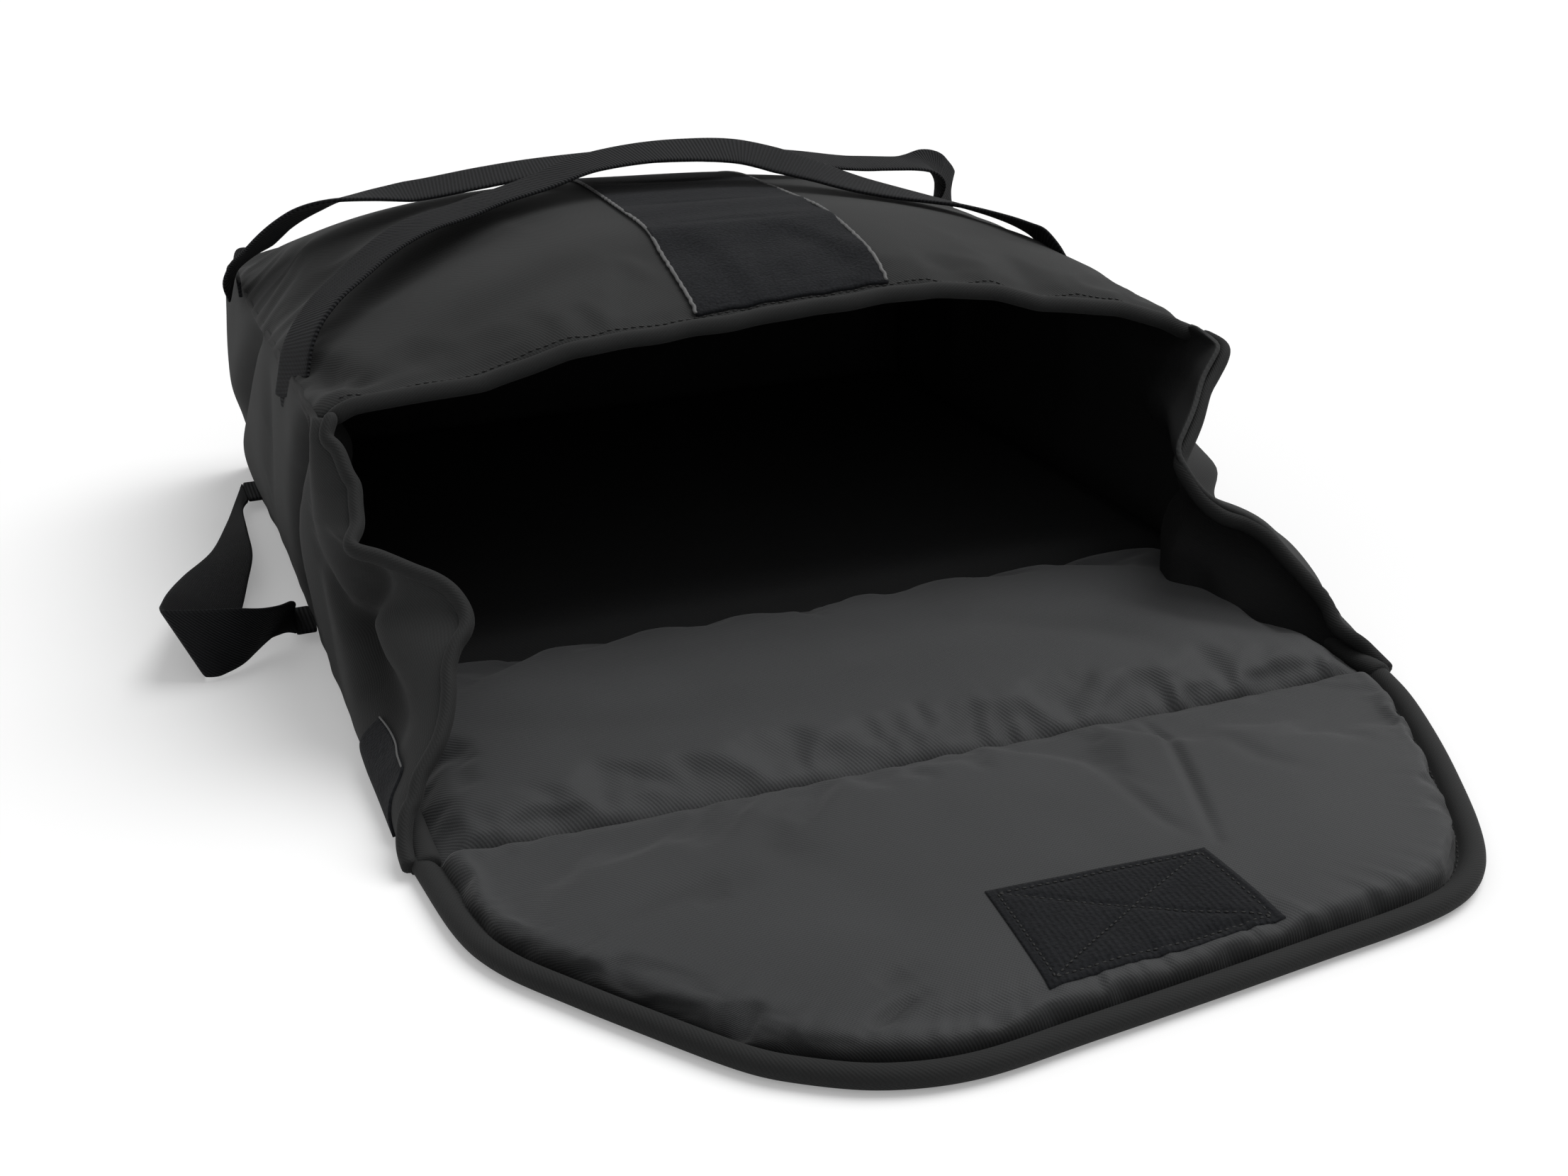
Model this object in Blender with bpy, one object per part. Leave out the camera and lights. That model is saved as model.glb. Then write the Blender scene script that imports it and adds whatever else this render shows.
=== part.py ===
"""Insulated delivery bag with its front opened flat.

A padded box of cloth, foam and lining. Its front wall lies on the ground with the closing
flap beyond it, joined to the sides by soft gussets. X runs across the mouth, -Y towards the
flap and Z up. The origin is on the ground, at the centre of the box's footprint.
"""
import math

import bmesh
import bpy
from mathutils import Vector

# Box
WIDTH = 0.490
DEPTH = 0.420
SEAM_FRONT = 0.152
SEAM_REAR = 0.142
CROWN_LIP = 0.024
CROWN_TOP = 0.052
CROWN_REAR = 0.008
SIDE_BULGE = 0.006

# Layers of a wall, and the clearance between sewn pieces
SHELL = 0.0012
PAD = 0.0105
LINING = 0.0010
GAP = 0.0003
WALL = SHELL + GAP + PAD + GAP + LINING

# Front wall and flap, lying open
FRONT_LENGTH = 0.195
FRONT_CROWN = 0.004
FLAP_LENGTH = 0.2195
FRONT_HALF_WIDTH = 0.2345
FLAP_HALF_WIDTH = 0.2405
FLAP_CROWN = 0.0015
BINDING_WIDTH = 0.0032
FLAP_HEM_RADIUS = 0.0048

# Hems and gussets
LIP_HEM_RADIUS = 0.0055
LIP_HEM_HALF_LENGTH = 0.232
LIP_SETBACK = 0.0065
MOUTH_HEM_RADIUS = 0.004
GUSSET_THICKNESS = 0.004
GUSSET_BULGE = 0.045
GUSSET_TOE = 0.006
GROUND_CLEARANCE = 0.0005

# Fastening tapes
TAPE_THICKNESS = 0.0018
LOOP_TAPE_WIDTH = 0.105
LOOP_TAPE_OFFSET = 0.010
LOOP_TAPE_LENGTH = 0.290
HOOK_TAPE_WIDTH = 0.103
HOOK_TAPE_OFFSET = 0.0065
HOOK_TAPE_LENGTH = 0.070
HOOK_TAPE_MARGIN = 0.0165
SIDE_PATCH_LENGTH = 0.085
SIDE_PATCH_HEIGHT = 0.026
SIDE_PATCH_FORWARD = 0.082
SIDE_PATCH_RISE = 0.004

# Webbing
WEBBING_WIDTH = 0.038
WEBBING_THICKNESS = 0.0025
HANDLE_SPACING = 0.250
TAB_HEIGHT = 0.020
ROOT_STANDOFF = 0.0012
FRONT_ARCH = 0.136
REAR_ARCH = 0.120
FRONT_LEAN = math.radians(55)
REAR_LEAN = math.radians(52)
GRAB_REACH = 0.080
GRAB_RISE = 0.038
GRAB_HALF_SPAN = 0.125
GRAB_SEAM_HEIGHT = 0.007
GRAB_TAB_LENGTH = 0.010

# Outline of the flap: share of its length from the crease, share of its half width
FLAP_OUTLINE_SHARES = (
    (0.00, 1.000), (0.15, 0.978), (0.30, 0.945), (0.44, 0.900), (0.57, 0.838),
    (0.70, 0.762), (0.81, 0.680), (0.89, 0.590), (0.95, 0.480), (1.00, 0.330),
)
# Arches of the handles, from the left seam to the right: share of half width, share of rise
FRONT_ARCH_SHARES = (
    (-1.0, 0.0), (-1.0, 0.08), (-0.990, 0.155), (-0.930, 0.28), (-0.835, 0.425), (-0.695, 0.585),
    (-0.574, 0.739), (-0.465, 0.824), (-0.325, 0.905), (-0.195, 0.975), (0.05, 1.0),
    (0.203, 0.934), (0.341, 0.801), (0.470, 0.640), (0.596, 0.535), (0.710, 0.475),
    (0.813, 0.400), (0.900, 0.290), (0.985, 0.155), (1.0, 0.08), (1.0, 0.0),
)
REAR_ARCH_SHARES = (
    (-1.0, 0.0), (-1.0, 0.10), (-0.990, 0.20), (-0.940, 0.40), (-0.876, 0.640), (-0.795, 0.810),
    (-0.690, 0.850), (-0.560, 0.862), (-0.406, 0.930), (-0.240, 0.985), (0.0, 1.0),
    (0.250, 0.915), (0.470, 0.745), (0.629, 0.665), (0.730, 0.610), (0.840, 0.508),
    (0.931, 0.340), (0.990, 0.20), (1.0, 0.10), (1.0, 0.0),
)
# Side loop, from its rear end to its front end: shares of reach, span and rise for its centre,
# and the direction across the webbing as outward, forward and upward parts
GRAB_CENTRE_SHARES = (
    (0.000, 1.04, 0.00), (0.050, 1.04, 0.00), (0.100, 1.04, 0.00), (0.210, 0.96, 0.06),
    (0.330, 0.72, 0.16), (0.400, 0.36, 0.34),
    (0.500, -0.04, 0.56), (0.620, -0.52, 0.80), (0.730, -1.00, 0.86), (0.745, -1.17, 0.80),
    (0.660, -1.19, 0.42), (0.500, -1.18, 0.36), (0.340, -1.09, 0.34), (0.200, -0.94, 0.16),
    (0.100, -0.88, 0.00), (0.050, -0.88, 0.00), (0.000, -0.88, 0.00),
)
GRAB_ACROSS_SHARES = (
    (0.00, -1.00, 0.00), (0.00, -1.00, 0.00), (0.00, -1.00, 0.00), (0.50, -0.85, 0.00),
    (0.90, -0.40, -0.20), (0.92, -0.10, -0.38),
    (0.94, 0.00, -0.34), (0.97, 0.10, -0.22), (0.95, 0.25, -0.10), (0.85, 0.28, -0.45),
    (0.35, 0.10, -0.93), (0.00, 0.05, -1.00), (0.00, 0.45, -0.90), (0.00, 0.85, -0.50),
    (0.00, 1.00, 0.00), (0.00, 1.00, 0.00), (0.00, 1.00, 0.00),
)

HALF = WIDTH / 2
MOUTH_Y = -DEPTH / 2
CREASE_Y = MOUTH_Y - FRONT_LENGTH
TAPE_FACE = HALF + GAP
SEAM_X = TAPE_FACE + ROOT_STANDOFF + WEBBING_THICKNESS / 2


def material(name, colour, roughness, metallic=0.0):
    """A Principled material of one colour."""
    made = bpy.data.materials.new(name)
    made.use_nodes = True
    shader = made.node_tree.nodes["Principled BSDF"]
    shader.inputs["Base Color"].default_value = (*colour, 1.0)
    shader.inputs["Roughness"].default_value = roughness
    shader.inputs["Metallic"].default_value = metallic
    return made


def finish(bm, name, look, parent=None, pivot=None):
    """Turn a bmesh modelled in world places into an object whose origin is its pivot."""
    bmesh.ops.recalc_face_normals(bm, faces=bm.faces)
    if bm.calc_volume(signed=True) < 0:
        bmesh.ops.reverse_faces(bm, faces=bm.faces)
    origin = Vector(pivot) if pivot is not None else Vector((0, 0, 0))
    bmesh.ops.translate(bm, verts=bm.verts, vec=-origin)
    mesh = bpy.data.meshes.new(name)
    bm.to_mesh(mesh)
    bm.free()
    mesh.shade_smooth()
    mesh.set_sharp_from_angle(angle=math.radians(35))
    piece = bpy.data.objects.new(name, mesh)
    bpy.context.scene.collection.objects.link(piece)
    piece.data.materials.append(look)
    if parent is not None:
        piece.parent = parent
        piece.location = origin - parent.location
    else:
        piece.location = origin
    return piece


def block(name, columns, rows, place, look, parent=None, pivot=None):
    """A grid drawn out to a slab, each corner then placed by its shares across, along, deep."""
    bm = bmesh.new()
    bmesh.ops.create_grid(bm, x_segments=columns, y_segments=rows, size=1)
    drawn = bmesh.ops.extrude_face_region(bm, geom=bm.faces[:])
    raised = [item for item in drawn["geom"] if isinstance(item, bmesh.types.BMVert)]
    bmesh.ops.translate(bm, verts=raised, vec=(0, 0, 1))
    for corner in bm.verts:
        across, along, deep = corner.co
        corner.co = place((across + 1) / 2, (along + 1) / 2, deep)
    return finish(bm, name, look, parent, pivot)


def smooth_path(points, steps):
    """A curve through the points, read at even steps between each two."""
    ends = [points[0] * 2 - points[1], *points, points[-1] * 2 - points[-2]]
    path = []
    for index in range(1, len(ends) - 2):
        before, start, end, after = ends[index - 1:index + 3]
        for step in range(steps):
            t = step / steps
            path.append(0.5 * (2 * start + (end - before) * t
                               + (2 * before - 5 * start + 4 * end - after) * t ** 2
                               + (3 * start - before - 3 * end + after) * t ** 3))
    path.append(points[-1].copy())
    return path


def rolled_edge(name, path, radius, look, sides=2, parent=None):
    """A round hem along a path, with filled ends."""
    curve = bpy.data.curves.new(name, "CURVE")
    curve.dimensions = "3D"
    curve.bevel_depth = radius
    curve.bevel_resolution = sides
    curve.use_fill_caps = True
    spline = curve.splines.new("POLY")
    spline.points.add(len(path) - 1)
    origin = parent.location if parent is not None else Vector((0, 0, 0))
    for point, place in zip(spline.points, path):
        point.co = (*(place - origin), 1.0)
    piece = bpy.data.objects.new(name, curve)
    bpy.context.scene.collection.objects.link(piece)
    piece.data.materials.append(look)
    piece.parent = parent
    return piece


def webbing(name, centres, across, look, parent=None, pivot=None):
    """A strap of webbing along the centres, its width laid along the across directions."""
    count = len(centres) - 1
    frames = []
    for index, centre in enumerate(centres):
        ahead = centres[min(index + 1, count)] - centres[max(index - 1, 0)]
        ahead.normalize()
        side = across[index] - ahead * across[index].dot(ahead)
        side.normalize()
        normal = ahead.cross(side)
        reach_down = WEBBING_WIDTH / 2 * abs(side.z) + WEBBING_THICKNESS / 2 * abs(normal.z)
        height = max(centre.z, reach_down + GROUND_CLEARANCE)
        frames.append((Vector((centre.x, centre.y, height)), side, normal))

    def place(share_along, share_across, deep):
        centre, side, normal = frames[round(share_along * count)]
        return (centre + side * (share_across - 0.5) * WEBBING_WIDTH
                + normal * (deep - 0.5) * WEBBING_THICKNESS)

    return block(name, count, 1, place, look, parent, pivot)


def side_seam(y):
    """Height of the seam between the sides and the top."""
    return SEAM_FRONT + (SEAM_REAR - SEAM_FRONT) * (y - MOUTH_Y) / DEPTH


def top_height(x, y):
    """Outer surface of the crowned top."""
    share = (y - MOUTH_Y) / DEPTH
    rise_share = 0.30
    fall_share = 0.55
    if share < rise_share:
        swell = math.sin(math.pi / 2 * max(share, 0) / rise_share)
        crown = CROWN_LIP + (CROWN_TOP - CROWN_LIP) * swell
    elif share < fall_share:
        crown = CROWN_TOP
    else:
        swell = math.cos(math.pi / 2 * (share - fall_share) / (1 - fall_share))
        crown = CROWN_REAR + (CROWN_TOP - CROWN_REAR) * swell
    return side_seam(y) + crown * (1 - min(abs(x) / HALF, 1) ** 2.4)


def layers():
    """Name, outer depth, thickness and look of each layer of a wall, from outside in."""
    return (
        ("shell", 0, SHELL, outer_cloth),
        ("pad", SHELL + GAP, PAD, foam),
        ("lining", WALL - LINING, LINING, inner_cloth),
    )


def build_floor():
    front = MOUTH_Y + GAP
    for layer, start, thick, look in layers():
        def place(across, along, deep, start=start, thick=thick):
            return Vector(((2 * across - 1) * HALF,
                           front + (DEPTH - GAP) * along,
                           start + thick * deep))
        block("bottom_" + layer, 1, 1, place, look)


def build_top():
    front = MOUTH_Y + LIP_SETBACK + 2 * LIP_HEM_RADIUS + GAP
    for layer, start, thick, look in layers():
        def place(across, along, deep, start=start, thick=thick):
            x = (2 * across - 1) * HALF
            y = front + (DEPTH / 2 - front) * along
            return Vector((x, y, top_height(x, y) - start - thick * deep))
        block("top_" + layer, 14, 12, place, look)
    path = []
    steps = 24
    y = front - GAP - LIP_HEM_RADIUS
    for index in range(steps + 1):
        x = LIP_HEM_HALF_LENGTH * (2 * index / steps - 1)
        path.append(Vector((x, y, top_height(x, y) - WALL / 2)))
    rolled_edge("lip_hem", path, LIP_HEM_RADIUS, binding)

    def tape(across, along, deep):
        x = LOOP_TAPE_OFFSET + (across - 0.5) * LOOP_TAPE_WIDTH
        y = front + LOOP_TAPE_LENGTH * along
        return Vector((x, y, top_height(x, y) + GAP + TAPE_THICKNESS * deep))
    block("top_loop_panel", 6, 14, tape, loop_tape)


def side_bulge(y, z):
    """How far a side swells outwards."""
    along = (y - MOUTH_Y) / DEPTH
    upward = (z - WALL) / (side_seam(y) - 2 * WALL)
    return SIDE_BULGE * math.sin(math.pi * along) * math.sin(math.pi * min(max(upward, 0), 1))


def build_sides():
    front = MOUTH_Y + GAP
    low = WALL + GAP
    for side, sign in (("left", -1), ("right", 1)):
        for layer, start, thick, look in layers():
            def place(across, along, deep, sign=sign, start=start, thick=thick):
                y = front + (DEPTH - GAP) * across
                high = side_seam(y) - WALL - GAP
                z = low + (high - low) * along
                return Vector((sign * (HALF + side_bulge(y, z) - start - thick * deep), y, z))
            block(side + "_side_" + layer, 10, 5, place, look)


def build_rear():
    low = WALL + GAP
    reach = HALF - WALL - GAP
    for layer, start, thick, look in layers():
        def place(across, along, deep, start=start, thick=thick):
            x = (2 * across - 1) * reach
            high = top_height(x, DEPTH / 2) - WALL - GAP
            z = low + (high - low) * along
            bulge = SIDE_BULGE * math.sin(math.pi * across) * math.sin(math.pi * along)
            return Vector((x, DEPTH / 2 + bulge - start - thick * deep, z))
        block("rear_" + layer, 12, 4, place, look)


def gusset_fold(share):
    """How far a gusset has folded inwards, as a share of its bulge, along the mouth."""
    return math.sin(math.pi * share ** 0.9) ** 2


def build_gussets():
    outer = HALF - GROUND_CLEARANCE
    length = FRONT_LENGTH - 2 * GROUND_CLEARANCE
    start_high = side_seam(MOUTH_Y) - WALL + GAP
    fall = Vector((0, -length, GUSSET_TOE - start_high)).normalized()
    rise = Vector((0, fall.z, -fall.y))
    for side, sign in (("left", -1), ("right", 1)):
        def surface(share, height_share, sign=sign):
            y = MOUTH_Y - GAP - GROUND_CLEARANCE / 2 - length * share
            high = start_high + (GUSSET_TOE - start_high) * share
            z = GROUND_CLEARANCE + (high - GROUND_CLEARANCE) * height_share
            free = max(z - WALL - GROUND_CLEARANCE, 0) / max(high - WALL, WALL)
            inward = GUSSET_BULGE * gusset_fold(share) * min(free, 1) ** 1.3
            return Vector((sign * (outer - inward), y, z))

        def place(across, along, deep, sign=sign, surface=surface):
            inner = Vector((-sign * GUSSET_THICKNESS * deep, 0, 0))
            return surface(across, along) + inner
        block(side + "_gusset", 16, 8, place, outer_cloth)
        steps = 16
        path = []
        for index in range(steps + 1):
            edge = surface(index / steps, 1) - Vector((sign * GUSSET_THICKNESS / 2, 0, 0))
            path.append(edge + rise * (MOUTH_HEM_RADIUS + GAP))
        rolled_edge(side + "_mouth_hem", path, MOUTH_HEM_RADIUS, binding)

        def patch(across, along, deep, sign=sign):
            y = MOUTH_Y - SIDE_PATCH_FORWARD - SIDE_PATCH_LENGTH * across
            z = SIDE_PATCH_RISE + SIDE_PATCH_HEIGHT * along * (1 - across / 2)
            x = outer + GAP + TAPE_THICKNESS * deep
            return Vector((sign * x, y, z))
        block(side + "_loop_patch", 4, 1, patch, loop_tape)


def build_front_wall():
    hinge = Vector((0, MOUTH_Y, WALL))
    reach = FRONT_HALF_WIDTH
    length = FRONT_LENGTH - 2 * GAP
    shell_piece = None
    for layer, start, thick, look in layers():
        def place(across, along, deep, layer=layer, start=start, thick=thick):
            x = (2 * across - 1) * reach
            y = MOUTH_Y - GAP - length * along
            swell = (1 - (2 * across - 1) ** 4) * 4 * along * (1 - along)
            if layer == "shell" or (layer == "pad" and deep == 0):
                swell = 0
            return Vector((x, y, start + thick * deep + FRONT_CROWN * swell))
        columns = 1 if layer == "shell" else 12
        rows = 1 if layer == "shell" else 8
        made = block("front_wall_" + layer, columns, rows, place, look, shell_piece, hinge)
        shell_piece = shell_piece or made
    for side, sign in (("left", -1), ("right", 1)):
        def edge(across, along, deep, sign=sign):
            x = reach + GAP + BINDING_WIDTH * across
            y = MOUTH_Y - GAP - length * along
            return Vector((sign * x, y, GROUND_CLEARANCE + (WALL - GROUND_CLEARANCE) * deep))
        block("front_wall_" + side + "_binding", 1, 1, edge, binding, shell_piece, hinge)
    return shell_piece


def flap_outline():
    """Points of the flap's right-hand edge from the crease to the tip."""
    corners = [Vector((wide * FLAP_HALF_WIDTH, -far * FLAP_LENGTH, 0))
               for far, wide in FLAP_OUTLINE_SHARES]
    return smooth_path(corners, 3)


def drawn_in(outline, distance):
    """The outline moved inwards, square to itself, by a distance."""
    moved = []
    for index, point in enumerate(outline):
        ahead = outline[min(index + 1, len(outline) - 1)] - outline[max(index - 1, 0)]
        ahead.normalize()
        moved.append(point + Vector((ahead.y, -ahead.x, 0)) * distance)
    return moved


def half_width_at(outline, far):
    """Half width of an outline at a distance from the crease."""
    for near, next_point in zip(outline, outline[1:]):
        if near.y >= -far >= next_point.y:
            share = (near.y + far) / max(near.y - next_point.y, GAP * GAP)
            return near.x + (next_point.x - near.x) * share
    return outline[0].x if far < -outline[0].y else outline[-1].x


def build_flap():
    pivot = Vector((0, CREASE_Y, WALL))
    start_y = CREASE_Y - GAP
    outline = flap_outline()
    inside = drawn_in(outline, 2 * FLAP_HEM_RADIUS + GAP)
    reach = FLAP_LENGTH - 2 * FLAP_HEM_RADIUS - GAP
    shell_piece = None

    def crown(x, far, half):
        return FLAP_CROWN * (1 - (x / half) ** 4) * (1 - (far / reach) ** 4)

    for layer, start, thick, look in layers():
        def place(across, along, deep, layer=layer, start=start, thick=thick):
            far = (reach - GAP) * (1 - (1 - along) ** 1.4)
            half = half_width_at(inside, far)
            x = (2 * across - 1) * half
            flat = layer == "shell" or (layer == "pad" and deep == 0)
            swell = 0 if flat else crown(x, far, half)
            return Vector((x, start_y - far, start + thick * deep + swell))
        made = block("flap_" + layer, 10, 14, place, look, shell_piece, pivot)
        shell_piece = shell_piece or made

    middle = drawn_in(outline, FLAP_HEM_RADIUS)
    lift = FLAP_HEM_RADIUS
    right = [Vector((point.x, start_y + min(point.y, -GAP), lift)) for point in middle]
    count = 4
    across_tip = [Vector((right[-1].x * (1 - 2 * index / count), right[-1].y, lift))
                  for index in range(count + 1)]
    left = [Vector((-point.x, point.y, point.z)) for point in reversed(right)]
    rolled_edge("flap_hem", right + across_tip[1:-1] + left, FLAP_HEM_RADIUS, binding, 2,
                shell_piece)

    def tape(across, along, deep):
        x = HOOK_TAPE_OFFSET + (across - 0.5) * HOOK_TAPE_WIDTH
        far = FLAP_LENGTH - HOOK_TAPE_MARGIN - HOOK_TAPE_LENGTH * along
        rest = WALL + FLAP_CROWN + GAP
        return Vector((x, start_y - far, rest + TAPE_THICKNESS * deep))
    block("hook_patch", 1, 1, tape, hook_tape, shell_piece, pivot)
    return shell_piece


def build_handle(name, y, sign, arch_shares, arch, lean):
    """A carry handle whose arch leans inwards from its two anchors."""
    seam = side_seam(y)
    pivot = Vector((0, y, seam))
    inward = Vector((0, -sign * math.sin(lean), math.cos(lean)))
    points = [pivot + Vector((wide * SEAM_X, 0, 0)) + inward * (high * arch + GAP)
              for wide, high in arch_shares]
    centres = smooth_path(points, 3)
    across = [Vector((0, 1, 0)) for _ in centres]
    webbing(name, centres, across, strap, None, pivot)
    for side, direction in (("left", -1), ("right", 1)):
        def tab(across_share, along, deep, direction=direction):
            place_y = y + (across_share - 0.5) * WEBBING_WIDTH
            z = side_seam(y) - WEBBING_WIDTH / 2 * math.sin(lean) - TAB_HEIGHT * (1 - along)
            out = TAPE_FACE + side_bulge(place_y, z) + WEBBING_THICKNESS * deep
            return Vector((direction * out, place_y, z - GAP))
        block(name + "_" + side + "_tab", 2, 3, tab, strap)


def build_grab_loop(side, sign):
    """A side loop of webbing out on the ground, bent forward on the left and rearward on the right."""
    pivot = Vector((sign * SEAM_X, 0, GRAB_SEAM_HEIGHT))
    base = WEBBING_THICKNESS + GROUND_CLEARANCE
    points = []
    turns = []
    for (out, span, high), (wide, forward, up) in zip(GRAB_CENTRE_SHARES, GRAB_ACROSS_SHARES):
        y = -sign * span * GRAB_HALF_SPAN
        rise = GRAB_SEAM_HEIGHT + (GRAB_RISE - GRAB_SEAM_HEIGHT) * high
        x = sign * (SEAM_X + GRAB_TAB_LENGTH + (GRAB_REACH - GRAB_TAB_LENGTH) * out)
        turn = Vector((sign * wide, -sign * forward, up)).normalized()
        lowest = base + WEBBING_WIDTH / 2 * abs(turn.z)
        points.append(Vector((x, y, max(rise, lowest))))
        turns.append(turn)
    centres = smooth_path(points, 4)
    across = smooth_path(turns, 4)
    piece = webbing(side + "_grab_loop", centres, across, strap, None, pivot)
    ends = ("rear", "front") if sign < 0 else ("front", "rear")
    for end, centre in zip(ends, (points[0], points[-1])):
        def tab(across_share, along, deep, centre=centre):
            x = TAPE_FACE + (GRAB_TAB_LENGTH - WEBBING_THICKNESS / 2) * deep
            y = centre.y + (across_share - 0.5) * WEBBING_WIDTH
            z = centre.z + (along - 0.5) * WEBBING_THICKNESS
            return Vector((sign * x, y, z))
        block(side + "_grab_" + end + "_tab", 1, 1, tab, strap)
    return piece


for old in list(bpy.data.objects):
    bpy.data.objects.remove(old, do_unlink=True)

outer_cloth = material("outer_cloth", (0.034, 0.036, 0.037), 0.85)
inner_cloth = material("inner_cloth", (0.044, 0.046, 0.049), 0.80)
foam = material("foam", (0.30, 0.30, 0.31), 0.90)
binding = material("binding", (0.026, 0.027, 0.029), 0.80)
strap = material("strap", (0.014, 0.015, 0.017), 0.70)
loop_tape = material("loop_tape", (0.016, 0.017, 0.020), 0.95)
hook_tape = material("hook_tape", (0.012, 0.013, 0.015), 0.60)

build_floor()
build_top()
build_sides()
build_rear()
build_gussets()
build_front_wall()
build_flap()
build_handle("front_handle", -HANDLE_SPACING / 2, -1, FRONT_ARCH_SHARES, FRONT_ARCH, FRONT_LEAN)
build_handle("rear_handle", HANDLE_SPACING / 2, 1, REAR_ARCH_SHARES, REAR_ARCH, REAR_LEAN)
build_grab_loop("left", -1)
build_grab_loop("right", 1)
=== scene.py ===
import math

import bpy
import numpy as np
from mathutils import Matrix, Vector
from mathutils.bvhtree import BVHTree


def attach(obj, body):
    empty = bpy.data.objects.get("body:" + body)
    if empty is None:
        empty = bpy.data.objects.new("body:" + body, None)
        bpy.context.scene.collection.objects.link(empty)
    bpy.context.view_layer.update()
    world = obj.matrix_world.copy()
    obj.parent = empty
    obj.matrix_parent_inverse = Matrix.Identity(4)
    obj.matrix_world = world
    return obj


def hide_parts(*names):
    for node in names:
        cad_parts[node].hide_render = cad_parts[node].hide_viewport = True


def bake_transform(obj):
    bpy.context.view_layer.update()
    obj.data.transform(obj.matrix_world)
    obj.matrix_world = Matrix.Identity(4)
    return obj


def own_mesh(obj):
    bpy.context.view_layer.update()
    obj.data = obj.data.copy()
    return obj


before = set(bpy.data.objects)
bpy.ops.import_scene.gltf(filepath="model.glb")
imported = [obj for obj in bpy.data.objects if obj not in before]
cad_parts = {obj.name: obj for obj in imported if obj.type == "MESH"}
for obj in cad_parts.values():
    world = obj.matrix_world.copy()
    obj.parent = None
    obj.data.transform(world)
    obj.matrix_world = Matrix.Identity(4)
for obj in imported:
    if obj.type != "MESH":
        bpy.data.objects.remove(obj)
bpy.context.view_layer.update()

# Sizes of the bag, in metres
HALF = 0.245
MOUTH = -0.210
REAR = 0.210
DEPTH = REAR - MOUTH
CREASE = -0.405
WALL = 0.0133
FRONT_HALF = 0.2345
FRONT_SEAM = 0.152
SEAM_FALL = 0.010
LOW_EDGE = 0.0006
FLAP_SEAM = 0.0118
WEBBING = 0.038
WEBBING_THICKNESS = 0.0026
HANDLE_HALF = 0.248
HANDLE_REACH = 0.120
PIVOT_REAR = 0.14402
STRAP_Y = 0.125
# Padding behind a panel's outer cloth: at a sewn edge, what it gains inwards, and how far in
PAD_RIM = 0.0035
PAD_GAIN = 0.0085
PAD_REACH = 0.03
# Points along a hem and a handle, and the frames in which the cloth solver fills a panel
HEM_POINTS = 110
HANDLE_POINTS = 150
FILL_FRAMES = 20

# The flap's edge from its right end round the tip: across the bag, and out from the crease
FLAP_OUTLINE = np.array((
    (0.2440, -0.0050), (0.2355, 0.0291), (0.2205, 0.0680), (0.2038, 0.1051), (0.1811, 0.1496),
    (0.1614, 0.1771), (0.1387, 0.1925), (0.1085, 0.1997), (0.0693, 0.2044), (0.0173, 0.2108),
    (-0.0383, 0.2169), (-0.0856, 0.2215), (-0.1200, 0.2145), (-0.1473, 0.1984), (-0.1635, 0.1835),
    (-0.1892, 0.1483), (-0.2086, 0.1203), (-0.2290, 0.0880), (-0.2391, 0.0559), (-0.2455, -0.0050),
))
# How far the top's front lip hangs below the smooth dome: place across the bag, and height
LIP_SAG = np.array((
    (-0.245, -0.002), (-0.223, 0.001), (-0.190, -0.004), (-0.158, -0.008), (-0.113, -0.002),
    (-0.042, -0.002), (-0.005, 0.000), (0.087, 0.005), (0.123, 0.002), (0.148, -0.004),
    (0.198, -0.005), (0.224, -0.009), (0.245, -0.013),
))
# The free edge of each gusset from the crease up to the lip: out from the middle, along the bag, and up
LEFT_MOUTH = np.array((
    (0.2455, -0.4045, 0.0050), (0.2455, -0.393, 0.010), (0.242, -0.382, 0.018),
    (0.237, -0.376, 0.022), (0.233, -0.369, 0.028), (0.227, -0.363, 0.033),
    (0.221, -0.357, 0.038), (0.215, -0.347, 0.045), (0.211, -0.337, 0.053),
    (0.209, -0.329, 0.059), (0.204, -0.321, 0.066), (0.197, -0.314, 0.071),
    (0.195, -0.307, 0.076), (0.198, -0.299, 0.083), (0.204, -0.292, 0.088),
    (0.214, -0.284, 0.092), (0.227, -0.276, 0.098), (0.2385, -0.268, 0.1020),
    (0.2330, -0.255, 0.1075), (0.2313, -0.245, 0.1150), (0.2301, -0.238, 0.1216),
    (0.2323, -0.234, 0.1267), (0.2346, -0.226, 0.1367), (0.2385, -0.221, 0.1415),
    (0.2360, -0.2165, 0.1475), (0.2325, -0.212, 0.1510),
))
RIGHT_MOUTH = np.array((
    (0.2440, -0.4045, 0.0050), (0.242, -0.392, 0.010), (0.239, -0.387, 0.014),
    (0.231, -0.378, 0.021), (0.231, -0.367, 0.030), (0.227, -0.355, 0.039),
    (0.222, -0.343, 0.048), (0.217, -0.334, 0.056), (0.209, -0.325, 0.062),
    (0.197, -0.320, 0.067), (0.191, -0.310, 0.074), (0.188, -0.298, 0.084),
    (0.189, -0.291, 0.089), (0.197, -0.284, 0.095), (0.209, -0.273, 0.103),
    (0.222, -0.259, 0.114), (0.232, -0.251, 0.120), (0.243, -0.242, 0.127),
    (0.248, -0.232, 0.130), (0.2460, -0.213, 0.1325),
))
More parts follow.
